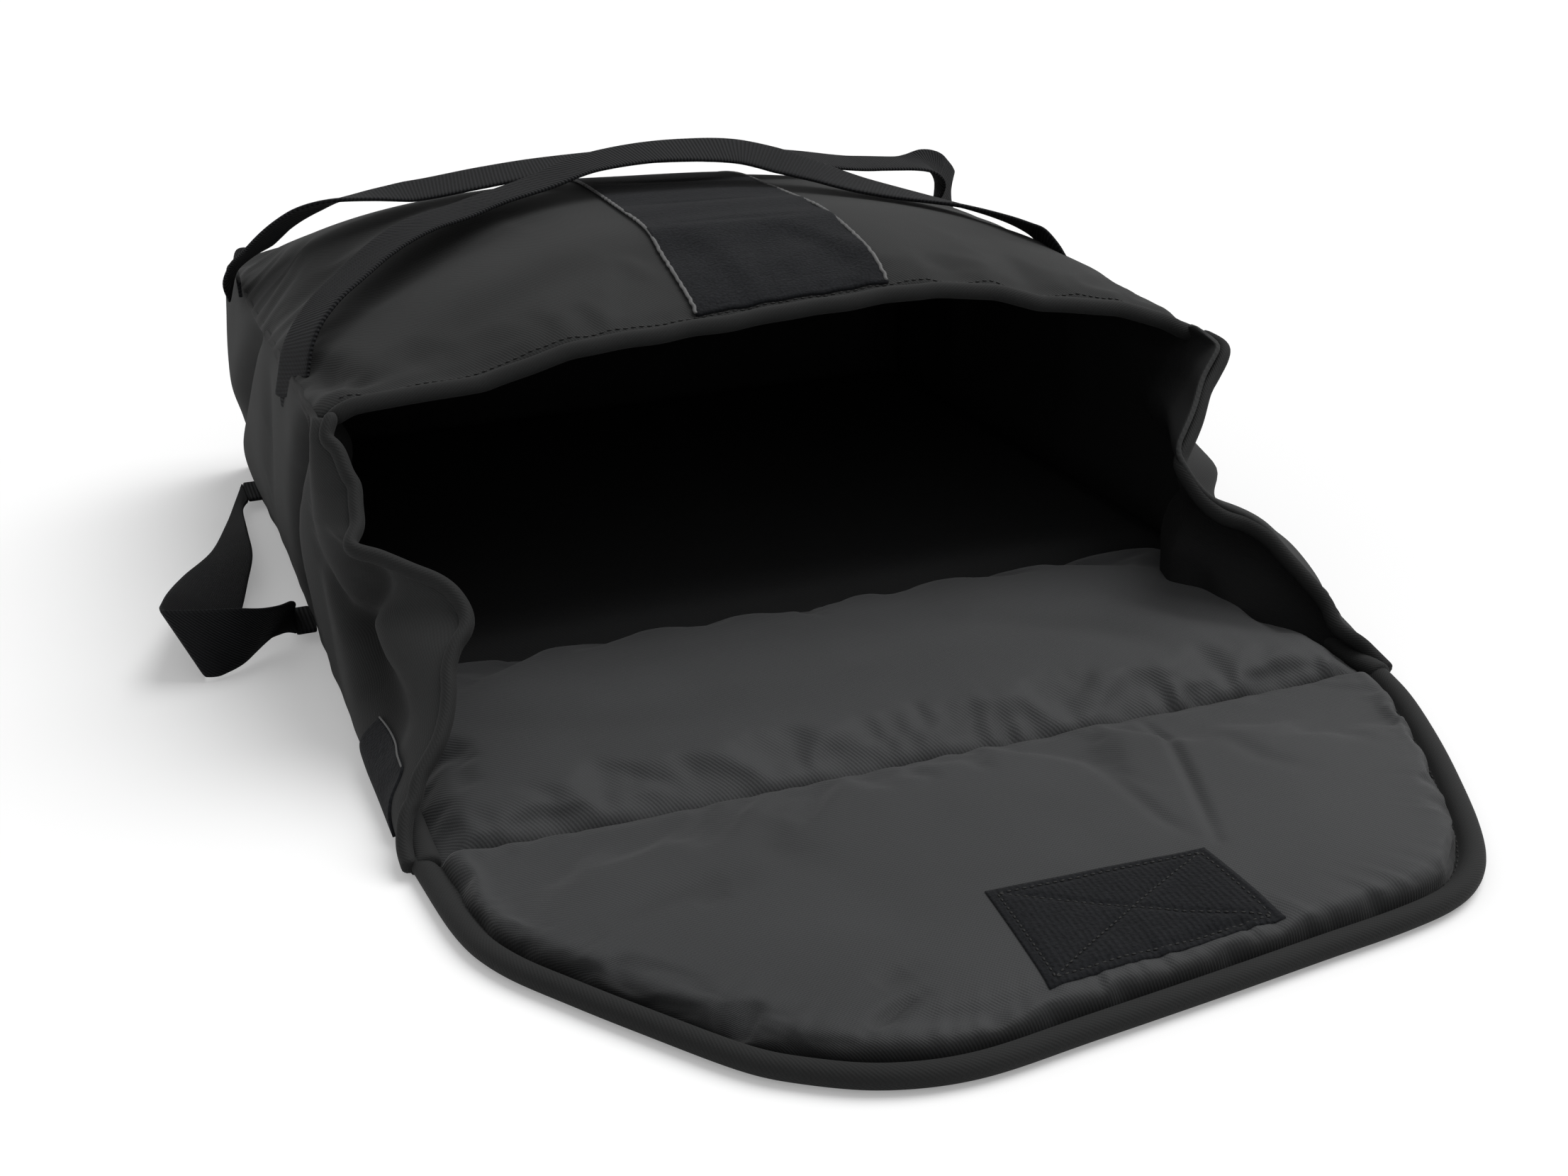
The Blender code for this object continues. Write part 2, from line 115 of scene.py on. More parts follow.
# Centre of each carry handle from left to right, and the direction across its webbing
FRONT_HANDLE = np.array((
    (-0.2445, -0.128, 0.1380), (-0.2417, -0.125, 0.1465), (-0.2349, -0.118, 0.1652),
    (-0.2201, -0.105, 0.1795), (-0.1999, -0.085, 0.1894), (-0.1795, -0.066, 0.1978),
    (-0.1561, -0.048, 0.2043), (-0.1278, -0.032, 0.2075), (-0.1100, -0.024, 0.2105),
    (-0.0782, -0.014, 0.2155), (-0.0460, -0.003, 0.2220), (-0.0060, 0.002, 0.2245),
    (0.0310, 0.000, 0.2230), (0.0550, -0.005, 0.2195), (0.0880, -0.022, 0.2090),
    (0.1080, -0.036, 0.2020), (0.1300, -0.048, 0.1960), (0.1500, -0.060, 0.1915),
    (0.1660, -0.070, 0.1880), (0.1825, -0.078, 0.1829), (0.1961, -0.086, 0.1774),
    (0.2055, -0.093, 0.1715), (0.2100, -0.1000, 0.1640), (0.2150, -0.107, 0.1540),
    (0.2290, -0.117, 0.1420), (0.2410, -0.124, 0.1345), (0.2460, -0.125, 0.1270),
))
FRONT_HANDLE_TURN = np.array((
    (-0.248, -0.33, 0.90, -0.28), (-0.235, -0.33, 0.90, -0.25), (-0.215, -0.25, 0.94, -0.15),
    (-0.190, -0.10, 0.97, -0.05), (-0.165, 0.00, 0.98, 0.02), (-0.100, 0.00, 0.99, 0.00),
    (0.000, 0.00, 0.98, 0.15), (0.070, 0.05, 0.95, 0.28), (0.130, 0.25, 0.95, 0.02),
    (0.165, 0.41, 0.89, -0.19), (0.200, 0.20, 0.95, -0.20), (0.236, 0.00, 1.00, -0.05),
    (0.248, 0.00, 1.00, 0.00),
))
# The rear handle's arch as shares of its half span and of its reach
REAR_ARCH = np.array((
    (-1.000, 0.100), (-0.990, 0.200), (-0.940, 0.400), (-0.876, 0.640), (-0.795, 0.810),
    (-0.690, 0.850), (-0.560, 0.862), (-0.406, 0.930), (-0.240, 0.985), (0.000, 1.000),
    (0.250, 0.925), (0.420, 0.820), (0.590, 0.705), (0.692, 0.664), (0.796, 0.612),
    (0.850, 0.530), (0.893, 0.400), (0.948, 0.215), (0.990, 0.080), (1.000, -0.020),
))
REAR_HANDLE_TURN = np.array((
    (-0.248, 0.00, 0.98, -0.12), (-0.236, 0.20, 0.93, -0.30), (-0.205, 0.22, 0.92, -0.30),
    (-0.175, 0.10, 0.97, -0.10), (-0.145, 0.00, 0.95, 0.12), (-0.100, 0.00, 0.95, 0.12),
    (0.000, 0.00, 0.98, 0.05), (0.120, 0.00, 0.97, 0.10), (0.185, 0.00, 0.98, 0.05),
    (0.205, 0.20, 0.95, 0.04), (0.222, 0.62, 0.75, 0.00), (0.238, 0.72, 0.69, 0.00),
    (0.2468, 0.30, 0.95, 0.00), (0.248, 0.10, 0.99, 0.00),
))
# The two edges of a side loop's webbing, up to its oblique fold and back from it to the wall
LOOP_OUT_EDGE = np.array((
    (-0.2572, 0.149, 0.0070), (-0.2600, 0.138, 0.0062), (-0.2655, 0.112, 0.0065),
    (-0.2754, 0.065, 0.0085), (-0.2897, 0.005, 0.0130), (-0.3092, -0.060, 0.0247),
    (-0.3197, -0.110, 0.0350), (-0.3250, -0.140, 0.0395),
))
LOOP_OUT_HEM = np.array((
    (-0.2572, 0.111, 0.0070), (-0.2600, 0.103, 0.0075), (-0.2635, 0.080, 0.0104),
    (-0.2655, 0.030, 0.0150), (-0.2670, -0.013, 0.0150), (-0.2733, -0.050, 0.0137),
    (-0.2870, -0.115, 0.0120), (-0.3080, -0.149, 0.0022),
))
LOOP_BACK_EDGE = np.array((
    (-0.3250, -0.1475, 0.0400), (-0.3068, -0.1540, 0.0396), (-0.2877, -0.1560, 0.0378),
    (-0.2745, -0.1480, 0.0325), (-0.2639, -0.1340, 0.0270), (-0.2560, -0.1160, 0.0215),
    (-0.2545, -0.1010, 0.0135), (-0.2572, -0.0910, 0.0072),
))
LOOP_BACK_HEM = np.array((
    (-0.3080, -0.1565, 0.0022), (-0.3040, -0.1570, 0.0018), (-0.2990, -0.1560, 0.0018),
    (-0.2882, -0.1490, 0.0034), (-0.2755, -0.1370, 0.0080), (-0.2640, -0.1310, 0.0100),
    (-0.2580, -0.1295, 0.0085), (-0.2572, -0.1290, 0.0072),
))


class Value:
    """A number or colour in a finish, which takes part in Python sums."""

    def __init__(self, finish, socket):
        self.finish = finish
        self.socket = socket

    def __add__(self, other):
        return self.finish.sum("ADD", self, other)

    def __radd__(self, other):
        return self.finish.sum("ADD", other, self)

    def __sub__(self, other):
        return self.finish.sum("SUBTRACT", self, other)

    def __rsub__(self, other):
        return self.finish.sum("SUBTRACT", other, self)

    def __mul__(self, other):
        return self.finish.sum("MULTIPLY", self, other)

    def __rmul__(self, other):
        return self.finish.sum("MULTIPLY", other, self)


class Finish:
    """The look of one cloth, tape or thread."""

    def __init__(self, name, roughness, sheen, gloss=0.3):
        self.material = bpy.data.materials.new(name)
        self.material.use_nodes = True
        self.nodes = self.material.node_tree.nodes
        self.links = self.material.node_tree.links
        self.nodes.clear()
        self.output = self.nodes.new("ShaderNodeOutputMaterial")
        self.shader = self.nodes.new("ShaderNodeBsdfPrincipled")
        self.shader.inputs["Roughness"].default_value = roughness
        self.shader.inputs["Sheen Weight"].default_value = sheen
        self.shader.inputs["Sheen Roughness"].default_value = 0.45
        self.shader.inputs["Specular IOR Level"].default_value = gloss
        self.links.new(self.shader.outputs["BSDF"], self.output.inputs["Surface"])

    def node(self, kind, settings, sockets, output=0):
        made = self.nodes.new(kind)
        for key, value in settings.items():
            setattr(made, key, value)
        for key, value in sockets.items():
            self.feed(made.inputs[key], value)
        return Value(self, made.outputs[output])

    def feed(self, socket, value):
        if isinstance(value, Value):
            self.links.new(value.socket, socket)
        else:
            socket.default_value = value

    def sum(self, operation, *values):
        return self.node("ShaderNodeMath", {"operation": operation}, dict(enumerate(values)))

    def sine(self, value):
        return self.sum("SINE", value)

    def limited(self, value):
        return self.node("ShaderNodeClamp", {}, {"Value": value})

    def cloth_place(self):
        """Place on the cloth in metres, across it and along it."""
        return self.node("ShaderNodeTexCoord", {}, {}, "UV")

    def part(self, place, axis):
        return self.node("ShaderNodeSeparateXYZ", {}, {"Vector": place}, axis)

    def cloud(self, place, scale, detail):
        return self.node("ShaderNodeTexNoise", {}, {"Vector": place, "Scale": scale, "Detail": detail})

    def mixed(self, share, first, second):
        sockets = {0: share, 6: first, 7: second}
        return self.node("ShaderNodeMix", {"data_type": "RGBA"}, sockets, 2)

    def raised(self, height, distance, strength):
        sockets = {"Height": height, "Distance": distance, "Strength": strength}
        self.feed(self.shader.inputs["Normal"], self.node("ShaderNodeBump", {}, sockets))

    def colour(self, value):
        self.feed(self.shader.inputs["Base Color"], value)


def grey(level, tint=(1.0, 1.0, 1.0)):
    return (level * tint[0], level * tint[1], level * tint[2], 1.0)


def twill_finish(name, dark, light, pitch, roughness, sheen):
    """Charcoal cloth with a fine diagonal rib, faint cloudy wear and lint, and painted shade in its folds
    and beside its seams.
    """
    finish = Finish(name, roughness, sheen)
    whole = finish.cloth_place()
    wide = finish.part(whole, "X")
    long = finish.part(whole, "Y")
    turn = 2 * math.pi / pitch
    wander = finish.cloud(whole, 140, 2.0)
    rib = finish.sine((wide * 0.78 + long * 0.62) * turn + wander * 2.2)
    yarn = finish.sine((wide * 0.62 - long * 0.78) * turn * 1.35)
    weave = rib * 0.36 + yarn * 0.14 + 0.5
    patches = finish.cloud(whole, 9, 4.0)
    lint = finish.cloud(whole, 1400, 2.0)
    share = finish.limited(weave * 0.34 + patches * 0.70 + lint * 0.30 - 0.18)
    # Painted shade: the hollow attribute mixes the cloth towards near-black in its folds and beside its
    # seams.
    hollow = finish.node("ShaderNodeAttribute", {"attribute_name": "hollow"}, {}, "Fac")
    cloth = finish.mixed(share, dark, light)
    finish.colour(finish.mixed(finish.limited(hollow * 0.85), cloth, grey(dark[0] * 0.2)))
    finish.raised(weave * 0.5 + lint * 0.35 + patches * 0.5, 0.00045, 0.55)
    return finish.material


def webbing_finish(name, dark, light, pitch):
    """Ribbed near-black webbing, its ribs running across it."""
    finish = Finish(name, 0.70, 0.03, 0.14)
    whole = finish.cloth_place()
    wide = finish.part(whole, "X")
    long = finish.part(whole, "Y")
    turn = 2 * math.pi / pitch
    bend = finish.cloud(whole, 90, 2.0)
    weft = finish.sine(long * turn + bend * 1.2)
    warp = finish.sine(wide * turn * 1.9)
    fluff = finish.cloud(whole, 900, 3.0)
    share = finish.limited(weft * 0.42 + warp * 0.10 + fluff * 0.40 + 0.26)
    finish.colour(finish.mixed(share, dark, light))
    finish.raised(weft * 0.60 + warp * 0.15 + fluff * 0.3, 0.0006, 0.9)
    return finish.material


def pile_finish(name, dark, light, ribs):
    """Fuzzy or ribbed closure tape."""
    finish = Finish(name, 0.9, 0.05, 0.12)
    whole = finish.cloth_place()
    wide = finish.part(whole, "X")
    curls = finish.cloud(whole, 620, 5.0)
    tufts = finish.cloud(whole, 160, 3.0)
    rows = finish.sine(wide * (2 * math.pi / 0.0028) + curls * 1.4) * ribs
    share = finish.limited(curls * 1.1 + tufts * 0.35 + rows * 0.25 - 0.32)
    finish.colour(finish.mixed(share, dark, light))
    finish.raised(curls * 0.9 + tufts * 0.4 + rows * 0.5, 0.0009, 0.9)
    return finish.material


def thread_finish(name, dark, light):
    """Twisted sewing thread."""
    finish = Finish(name, 0.55, 0.05)
    twist = finish.cloud(finish.cloth_place(), 60, 2.0)
    finish.colour(finish.mixed(twist, dark, light))
    finish.raised(twist, 0.0002, 0.4)
    return finish.material


PLAIN = (0.97, 1.0, 1.0)
COOL = (0.96, 0.995, 1.04)
BLUISH = (0.94, 1.0, 1.16)
OUTER = twill_finish("outer_twill", grey(0.0105, PLAIN), grey(0.0295, PLAIN), 0.0014, 0.84, 0.05)
LINING = twill_finish("lining_twill", grey(0.0165, COOL), grey(0.0440, COOL), 0.0015, 0.68, 0.14)
# Painted shade: a darker copy of the lining for the cloth inside the bag, which lies in shade.
SHADED_INSIDE = twill_finish("shaded_inside_twill", grey(0.0035, COOL), grey(0.0085, COOL), 0.0015, 0.88, 0.0)
# Painted shade: a darker copy of the lining for the floor inside the bag.
SHADED_FLOOR_CLOTH = twill_finish("shaded_floor_twill", grey(0.0045, COOL), grey(0.0120, COOL), 0.0015, 0.85, 0.0)
HEM = twill_finish("hem_twill", grey(0.0075, PLAIN), grey(0.0200, PLAIN), 0.0013, 0.84, 0.03)
# Painted shade: a darker copy of the hem cloth for the right gusset's hem, seen in the bag's shade.
SHADED_HEM = twill_finish("shaded_hem_twill", grey(0.0060, PLAIN), grey(0.0150, PLAIN), 0.0013, 0.85, 0.0)
STRAP = webbing_finish("strap_webbing", grey(0.0030, BLUISH), grey(0.0125, BLUISH), 0.0022)
LOOP = pile_finish("loop_pile", grey(0.0040, BLUISH), grey(0.0230, BLUISH), 0.0)
HOOK = pile_finish("hook_rows", grey(0.0040, BLUISH), grey(0.0185, BLUISH), 0.25)
THREAD = thread_finish("dark_thread", grey(0.006), grey(0.016))
FRAY = thread_finish("frayed_thread", grey(0.05), grey(0.17))


def points_of(piece):
    points = np.empty(len(piece.data.vertices) * 3)
    piece.data.vertices.foreach_get("co", points)
    return points.reshape(-1, 3)


def set_points(piece, points):
    piece.data.vertices.foreach_set("co", points.ravel())
    piece.data.update()


def normals_of(piece):
    normals = np.empty(len(piece.data.vertices) * 3)
    piece.data.vertex_normals.foreach_get("vector", normals)
    return normals.reshape(-1, 3)


def apply_modifier(piece, kind, settings):
    modifier = piece.modifiers.new(kind.lower(), kind)
    for key, value in settings.items():
        setattr(modifier, key, value)
    bpy.context.view_layer.objects.active = piece
    bpy.ops.object.modifier_apply(modifier=modifier.name)


def pick(piece):
    """Select one piece alone."""
    bpy.ops.object.select_all(action="DESELECT")
    piece.select_set(True)
    bpy.context.view_layer.objects.active = piece


def edit(piece, *steps):
    """Run mesh operators on the whole piece."""
    pick(piece)
    bpy.ops.object.mode_set(mode="EDIT")
    bpy.ops.mesh.select_all(action="SELECT")
    for step, settings in steps:
        step(**settings)
    bpy.ops.object.mode_set(mode="OBJECT")


def smooth(piece, levels=1):
    if levels:
        apply_modifier(piece, "SUBSURF", {"levels": levels, "render_levels": levels})
    pick(piece)
    bpy.ops.object.shade_smooth()


def cloth_square(name, across, along):
    """A flat square of cloth, a metre wide, with its place on itself in metres."""
    bpy.ops.object.select_all(action="DESELECT")
    bpy.ops.mesh.primitive_grid_add(x_subdivisions=across, y_subdivisions=along, size=1)
    piece = bpy.context.object
    piece.name = name
    piece.data.name = name
    flat = points_of(piece)
    return piece, flat[:, 0] + 0.5, flat[:, 1] + 0.5


def weave_of(piece):
    """The weave's place on the cloth at every corner of every face."""
    layer = piece.data.uv_layers.active.data
    flat = np.empty(len(layer) * 2)
    layer.foreach_get("uv", flat)
    return flat.reshape(-1, 2)


def set_weave(piece, flat):
    piece.data.uv_layers.active.data.foreach_set("uv", flat.ravel())


def panel(name, cells, flat, outer, inner, facing, finishes):
    """A padded panel: an outer cloth, and an inner cloth placed behind it and sewn round the rim."""
    piece, u, v = cloth_square(name, *cells)
    place = np.column_stack(outer(u, v))
    set_points(piece, place)
    set_weave(piece, weave_of(piece) * flat)
    if (normals_of(piece) @ np.array(facing)).mean() < 0:
        edit(piece, (bpy.ops.mesh.flip_normals, {}))
    behind = inner(place, normals_of(piece), u, v)
    for finish in finishes:
        piece.data.materials.append(finish)
    last = len(finishes) - 1
    apply_modifier(piece, "SOLIDIFY", {"thickness": 0.002, "offset": -1.0, "material_offset": last})
    set_points(piece, np.vstack((place, behind)))
    rim = (u < 1e-6) | (u > 1 - 1e-6) | (v < 1e-6) | (v > 1 - 1e-6)
    return piece, np.concatenate((rim, rim))


def stuff(piece, sewn, pressure, slack, cap):
    """Fill a panel with the cloth solver, held where it is sewn."""
    start = points_of(piece)
    group = piece.vertex_groups.new(name="sewn")
    group.add([int(i) for i in np.nonzero(sewn)[0]], 1.0, "REPLACE")
    modifier = piece.modifiers.new("stuffing", "CLOTH")
    modifier.settings.quality = 4
    modifier.settings.mass = 0.2
    modifier.settings.tension_stiffness = 12
    modifier.settings.compression_stiffness = 12
    modifier.settings.shear_stiffness = 4
    modifier.settings.bending_stiffness = 0.4
    modifier.settings.use_pressure = True
    modifier.settings.uniform_pressure_force = pressure
    modifier.settings.shrink_min = -slack
    modifier.settings.vertex_group_mass = "sewn"
    modifier.settings.effector_weights.gravity = 0
    modifier.collision_settings.use_collision = False
    for frame_number in range(1, FILL_FRAMES + 1):
        bpy.context.scene.frame_set(frame_number)
    bpy.context.view_layer.objects.active = piece
    bpy.ops.object.modifier_apply(modifier="stuffing")
    bpy.context.scene.frame_set(1)
    move = points_of(piece) - start
    length = np.maximum(np.linalg.norm(move, axis=1), 1e-9)
    set_points(piece, start + move * np.minimum(1, cap / length)[:, None])
    piece.vertex_groups.clear()


def worn(piece, body, slot, *nodes):
    """Attach a finished piece to its body and hide the plain solids it stands for; the slot is not used."""
    if body:
        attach(piece, body)
    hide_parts(*nodes)


def follow_front_wall(piece):
    """Bake the placement of a soft piece beside the front wall into its mesh."""
    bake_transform(piece)


def ramp(value):
    value = np.clip(value, 0, 1)
    return value * value * (3 - 2 * value)


def hill(distance, width):
    """A soft hill or hollow, 1 in the middle and fading to both sides."""
    return np.exp(-((distance / width) ** 2))


def rounded(distance, reach):
    """A quarter round, 0 at an edge and 1 from its reach on."""
    return np.sqrt(1 - (1 - np.clip(distance / reach, 0, 1)) ** 2)


def seam_shadow(distance, width):
    return 0.8 * hill(distance, width)


def pad_depth(edge, full=1.0):
    """Depth of the padding at a distance from its sewn edge."""
    return PAD_RIM + PAD_GAIN * ramp(edge / PAD_REACH) * full


def on_ground(place, normals, u, v):
    """The cloth under a panel that lies on the ground."""
    flat = place.copy()
    flat[:, 2] = 0.0
    return flat


def tape_back(thickness):
    """The back of a tape of one thickness."""
    return lambda place, normals, u, v: place - normals * thickness


def between(corners, u, v):
    """Places inside four corners that are given in turn."""
    low = [corners[0][axis] * (1 - u) + corners[1][axis] * u for axis in (0, 1)]
    high = [corners[3][axis] * (1 - u) + corners[2][axis] * u for axis in (0, 1)]
    return low[0] * (1 - v) + high[0] * v, low[1] * (1 - v) + high[1] * v


def near_line(a, b, line):
    """Distance from a drawn line, and how far along the line its nearest point lies, 0 to 1."""
    nearest = np.full(a.shape, 9.0)
    along = np.zeros(a.shape)
    count = len(line) - 1
    for index in range(count):
        start = line[index]
        run = (line[index + 1][0] - start[0], line[index + 1][1] - start[1])
        reach = max(run[0] ** 2 + run[1] ** 2, 1e-12)
        share = np.clip(((a - start[0]) * run[0] + (b - start[1]) * run[1]) / reach, 0, 1)
        distance = np.hypot(a - start[0] - share * run[0], b - start[1] - share * run[1])
        closer = distance < nearest
        nearest = np.where(closer, distance, nearest)
        along = np.where(closer, (index + share) / count, along)
    return nearest, along


def fold(a, b, line, width, depth):
    """How far a fold drawn as a line on the cloth presses it in, fading at its ends."""
    nearest, along = near_line(a, b, line)
    fade = np.sin(np.pi * np.clip(along, 0.06, 0.94)) ** 0.7
    return -depth * fade * hill(nearest, width)


def shade(piece, amount):
    """Paint shade into the cloth's colour where it lies in a fold or beside a seam."""
    layer = piece.data.attributes.new("hollow", "FLOAT", "POINT")
    layer.data.foreach_set("value", np.clip(amount, 0, 1))


def crease(piece, folds, extra, seams):
    """Draw folds and gathers into the upper cloth of a filled panel."""
    points = points_of(piece)
    upper = ramp(normals_of(piece)[:, 2] / 0.5)
    x = points[:, 0].copy()
    y = points[:, 1].copy()
    pressed = sum(fold(x, y, line, width, depth) for line, width, depth in folds)
    fine = extra(x, y)
    points[:, 2] += (pressed + fine) * upper
    set_points(piece, points)
    shade(piece, (-pressed - 0.5 * fine) / 0.008 + seam_shadow(seams(x, y), 0.0034))


def gathers(along, away, pitch, reach, depth, seed):
    """Small puckers beside a seam."""
    chance = np.random.default_rng(seed)
    total = np.zeros(along.shape)
    for part in range(4):
        turn = 2 * np.pi / (pitch * chance.uniform(0.6, 1.7))
        total += np.sin(along * turn + chance.uniform(0, 6.28)) * chance.uniform(0.5, 1.0)
    swell = 0.6 + 0.4 * np.sin(along * 2 * np.pi / (pitch * 7) + seed)
    return depth * total / 2.2 * swell * np.exp(-((np.maximum(away, 0) / reach) ** 1.5))


def surface_of(piece):
    """A finished cloth, ready for finding places on it."""
    corners = [tuple(point) for point in points_of(piece)]
    faces = [tuple(face.vertices) for face in piece.data.polygons]
    return BVHTree.FromPolygons(corners, faces)


def laid(cloth, place, toward, lift):
    """Places brought straight onto a cloth, then a little off it again."""
    toward = Vector(toward)
    landed = []
    for spot in place:
        start = Vector(spot) - toward * 0.04
        hit = cloth.ray_cast(start, toward, 0.08)[0]
        landed.append((Vector(spot) if hit is None else hit) - toward * lift)
    return np.array(landed)


def sag(x, y):
    """How far the top hangs below its smooth dome near the mouth, and all along its right edge."""
    drop = np.interp(x, LIP_SAG[:, 0], LIP_SAG[:, 1])
    reach = 0.055 + 0.085 * ramp((x - 0.13) / 0.10)
    return drop * hill(y - MOUTH, reach)


def side_sag(y, sign):
    return sag(np.full(np.shape(y), sign * HALF), y)


def side_seam(y):
    """Height of the seam between the sides and the top."""
    return FRONT_SEAM - SEAM_FALL * (y - MOUTH) / DEPTH


def top_surface(x, y):
    """Outer surface of the domed top."""
    share = (y - MOUTH) / DEPTH
    rise = 0.024 + 0.028 * np.sin(np.pi / 2 * np.clip(share, 0, 0.30) / 0.30)
    fall = 0.008 + 0.044 * np.cos(np.pi / 2 * np.clip(share - 0.55, 0, 0.45) / 0.45)
    crown = np.minimum(rise, fall)
    boxy = 2.4 + 3.0 * ramp((y + 0.10) / 0.14) * ramp((0.02 - x) / 0.08)
    height = side_seam(y) + crown * (1 - np.minimum(np.abs(x / HALF), 1) ** boxy)
    height += 0.0045 * hill(x + 0.075, 0.075) * hill(y - 0.030, 0.080)
    return height + sag(x, y)


def distance_along(line):
    """How far along its line each point lies."""
    return np.concatenate(([0], np.cumsum(np.linalg.norm(np.diff(line, axis=0), axis=1))))


def resample(points, count):
    """Evenly spaced points on a smooth curve through the given ones."""
    padded = np.vstack((2 * points[0] - points[1], points, 2 * points[-1] - points[-2]))
    fine = []
    for index in range(1, len(padded) - 2):
        p0, p1, p2, p3 = padded[index - 1:index + 3]
        for t in np.linspace(0, 1, 12, endpoint=False):
            fine.append(0.5 * (2 * p1 + (p2 - p0) * t + (2 * p0 - 5 * p1 + 4 * p2 - p3) * t ** 2
                               + (3 * p1 - p0 - 3 * p2 + p3) * t ** 3))
    fine = np.array(fine + [points[-1]])
    length = distance_along(fine)
    where = np.linspace(0, length[-1], count)
    return np.column_stack([np.interp(where, length, fine[:, axis]) for axis in range(3)])


def unit(vectors):
    return vectors / np.maximum(np.linalg.norm(vectors, axis=1), 1e-9)[:, None]


def sleeve(name, centres, across, profile, finish, rounding=(0.0, 0.0)):
    """A band of cloth or webbing with the given section, drawn along its centres."""
    profile = np.array(profile)
    across = np.broadcast_to(np.array(across, float), centres.shape)
    count = len(centres) - 1
    ahead = unit(np.gradient(centres, axis=0))
    side = unit(across - ahead * (across * ahead).sum(axis=1)[:, None])
    normal = np.cross(ahead, side)
    ring = np.vstack((profile, profile[:1]))
    around = distance_along(ring)
    length = distance_along(centres)
    piece, u, v = cloth_square(name, len(profile), count)
    i = np.rint(u * len(profile)).astype(int)
    j = np.rint(v * count).astype(int)
    full = np.ones(len(length))
    for end, reach in ((length, rounding[0]), (length[-1] - length, rounding[1])):
        if reach:
            full *= np.maximum(rounded(end, reach), 0.15)
    full = full[j][:, None]
    place = centres[j] + (side[j] * ring[i, 0][:, None] + normal[j] * ring[i, 1][:, None]) * full
    set_points(piece, place)
    flat = weave_of(piece)
    flat[:, 0] = around[np.rint(flat[:, 0] * len(profile)).astype(int)]
    flat[:, 1] = length[np.rint(flat[:, 1] * count).astype(int)]
    set_weave(piece, flat)
    edit(
        piece,
        (bpy.ops.mesh.remove_doubles, {"threshold": 1e-6}),
        (bpy.ops.mesh.fill_holes, {"sides": 0}),
        (bpy.ops.mesh.normals_make_consistent, {"inside": False}),
    )
    piece.data.materials.append(finish)
    smooth(piece)
    return piece


def strap_between(name, first, second, finish):
    """Flat webbing drawn between its two edges, given as pairs of points."""
    count = len(first) - 1
    piece, u, v = cloth_square(name, 12, count)
    j = np.rint(v * count).astype(int)
    set_points(piece, first[j] * (1 - u)[:, None] + second[j] * u[:, None])
    flat = weave_of(piece)
    row = np.rint(flat[:, 1] * count).astype(int)
    flat[:, 1] = distance_along(first)[row] * (1 - flat[:, 0]) + distance_along(second)[row] * flat[:, 0]
    flat[:, 0] *= WEBBING
    set_weave(piece, flat)
    apply_modifier(piece, "SOLIDIFY", {"thickness": WEBBING_THICKNESS, "offset": 0.0})
    edit(piece, (bpy.ops.mesh.normals_make_consistent, {"inside": False}))
    piece.data.materials.append(finish)
    smooth(piece)
    return piece


def round_section(half_width, half_height, count=12):
    """Points round an oval."""
    turn = np.arange(count) * 2 * np.pi / count
    return np.column_stack((half_width * np.cos(turn), half_height * np.sin(turn)))


def tape_section(width, thickness):
    """Points round a flat tape with soft edges."""
    w = width / 2
    t = thickness / 2
    return (
        (-w, 0), (-w + 0.0006, -t * 0.85), (-w + 0.003, -t), (-w * 0.4, -t), (w * 0.4, -t), (w - 0.003, -t),
        (w - 0.0006, -t * 0.85), (w, 0), (w - 0.0006, t * 0.85), (w - 0.003, t), (w * 0.4, t), (-w * 0.4, t),
        (-w + 0.003, t), (-w + 0.0006, t * 0.85),
    )


STRAP_SECTION = tape_section(WEBBING, WEBBING_THICKNESS)


def stitch_row(name, line, up, pitch):
    """A row of short stitches lying on a seam."""
    bpy.ops.object.select_all(action="DESELECT")
    bpy.ops.mesh.primitive_uv_sphere_add(segments=6, ring_count=4, radius=1)
    first = bpy.context.object
    first.data.materials.append(THREAD)
    length = np.linalg.norm(np.diff(line, axis=0), axis=1).sum()
    count = max(2, int(length / pitch))
    spots = resample(line, count * 2 + 1)
    stitches = []
    for index in range(count):
        middle = Vector(spots[2 * index + 1])
        ahead = Vector(spots[2 * index + 2] - spots[2 * index]).normalized()
        side = ahead.cross(Vector(up)).normalized()
        lift = side.cross(ahead)
        turn = Matrix((ahead * (pitch * 0.36), side * 0.00055, lift * 0.00045)).transposed().to_4x4()
        turn.translation = middle
        stitch = first.copy()
        stitch.data = first.data.copy()
        stitch.data.transform(turn)
        bpy.context.scene.collection.objects.link(stitch)
        stitches.append(stitch)
    bpy.data.objects.remove(first)
    bpy.ops.object.select_all(action="DESELECT")
    for stitch in stitches:
        stitch.select_set(True)
    row = stitches[0]
    bpy.context.view_layer.objects.active = row
    bpy.ops.object.join()
    row.name = name
    row.data.name = name
    edit(row, (bpy.ops.mesh.normals_make_consistent, {"inside": False}))
    smooth(row, 0)
    return row


# Soft folds drawn on the top: places across and along the bag, width and depth
TOP_FOLDS = (
    (((-0.232, -0.140), (-0.222, -0.170), (-0.215, -0.198)), 0.010, 0.0050),
    (((-0.205, -0.100), (-0.150, -0.066), (-0.100, -0.050)), 0.018, 0.0040),
    (((-0.190, -0.175), (-0.120, -0.150), (-0.070, -0.135)), 0.018, 0.0024),
    (((-0.238, -0.020), (-0.190, 0.010), (-0.130, 0.030)), 0.022, 0.0050),
    (((0.120, -0.150), (0.165, -0.120), (0.205, -0.115)), 0.020, 0.0024),
    (((0.085, -0.185), (0.130, -0.165)), 0.014, 0.0018),
)


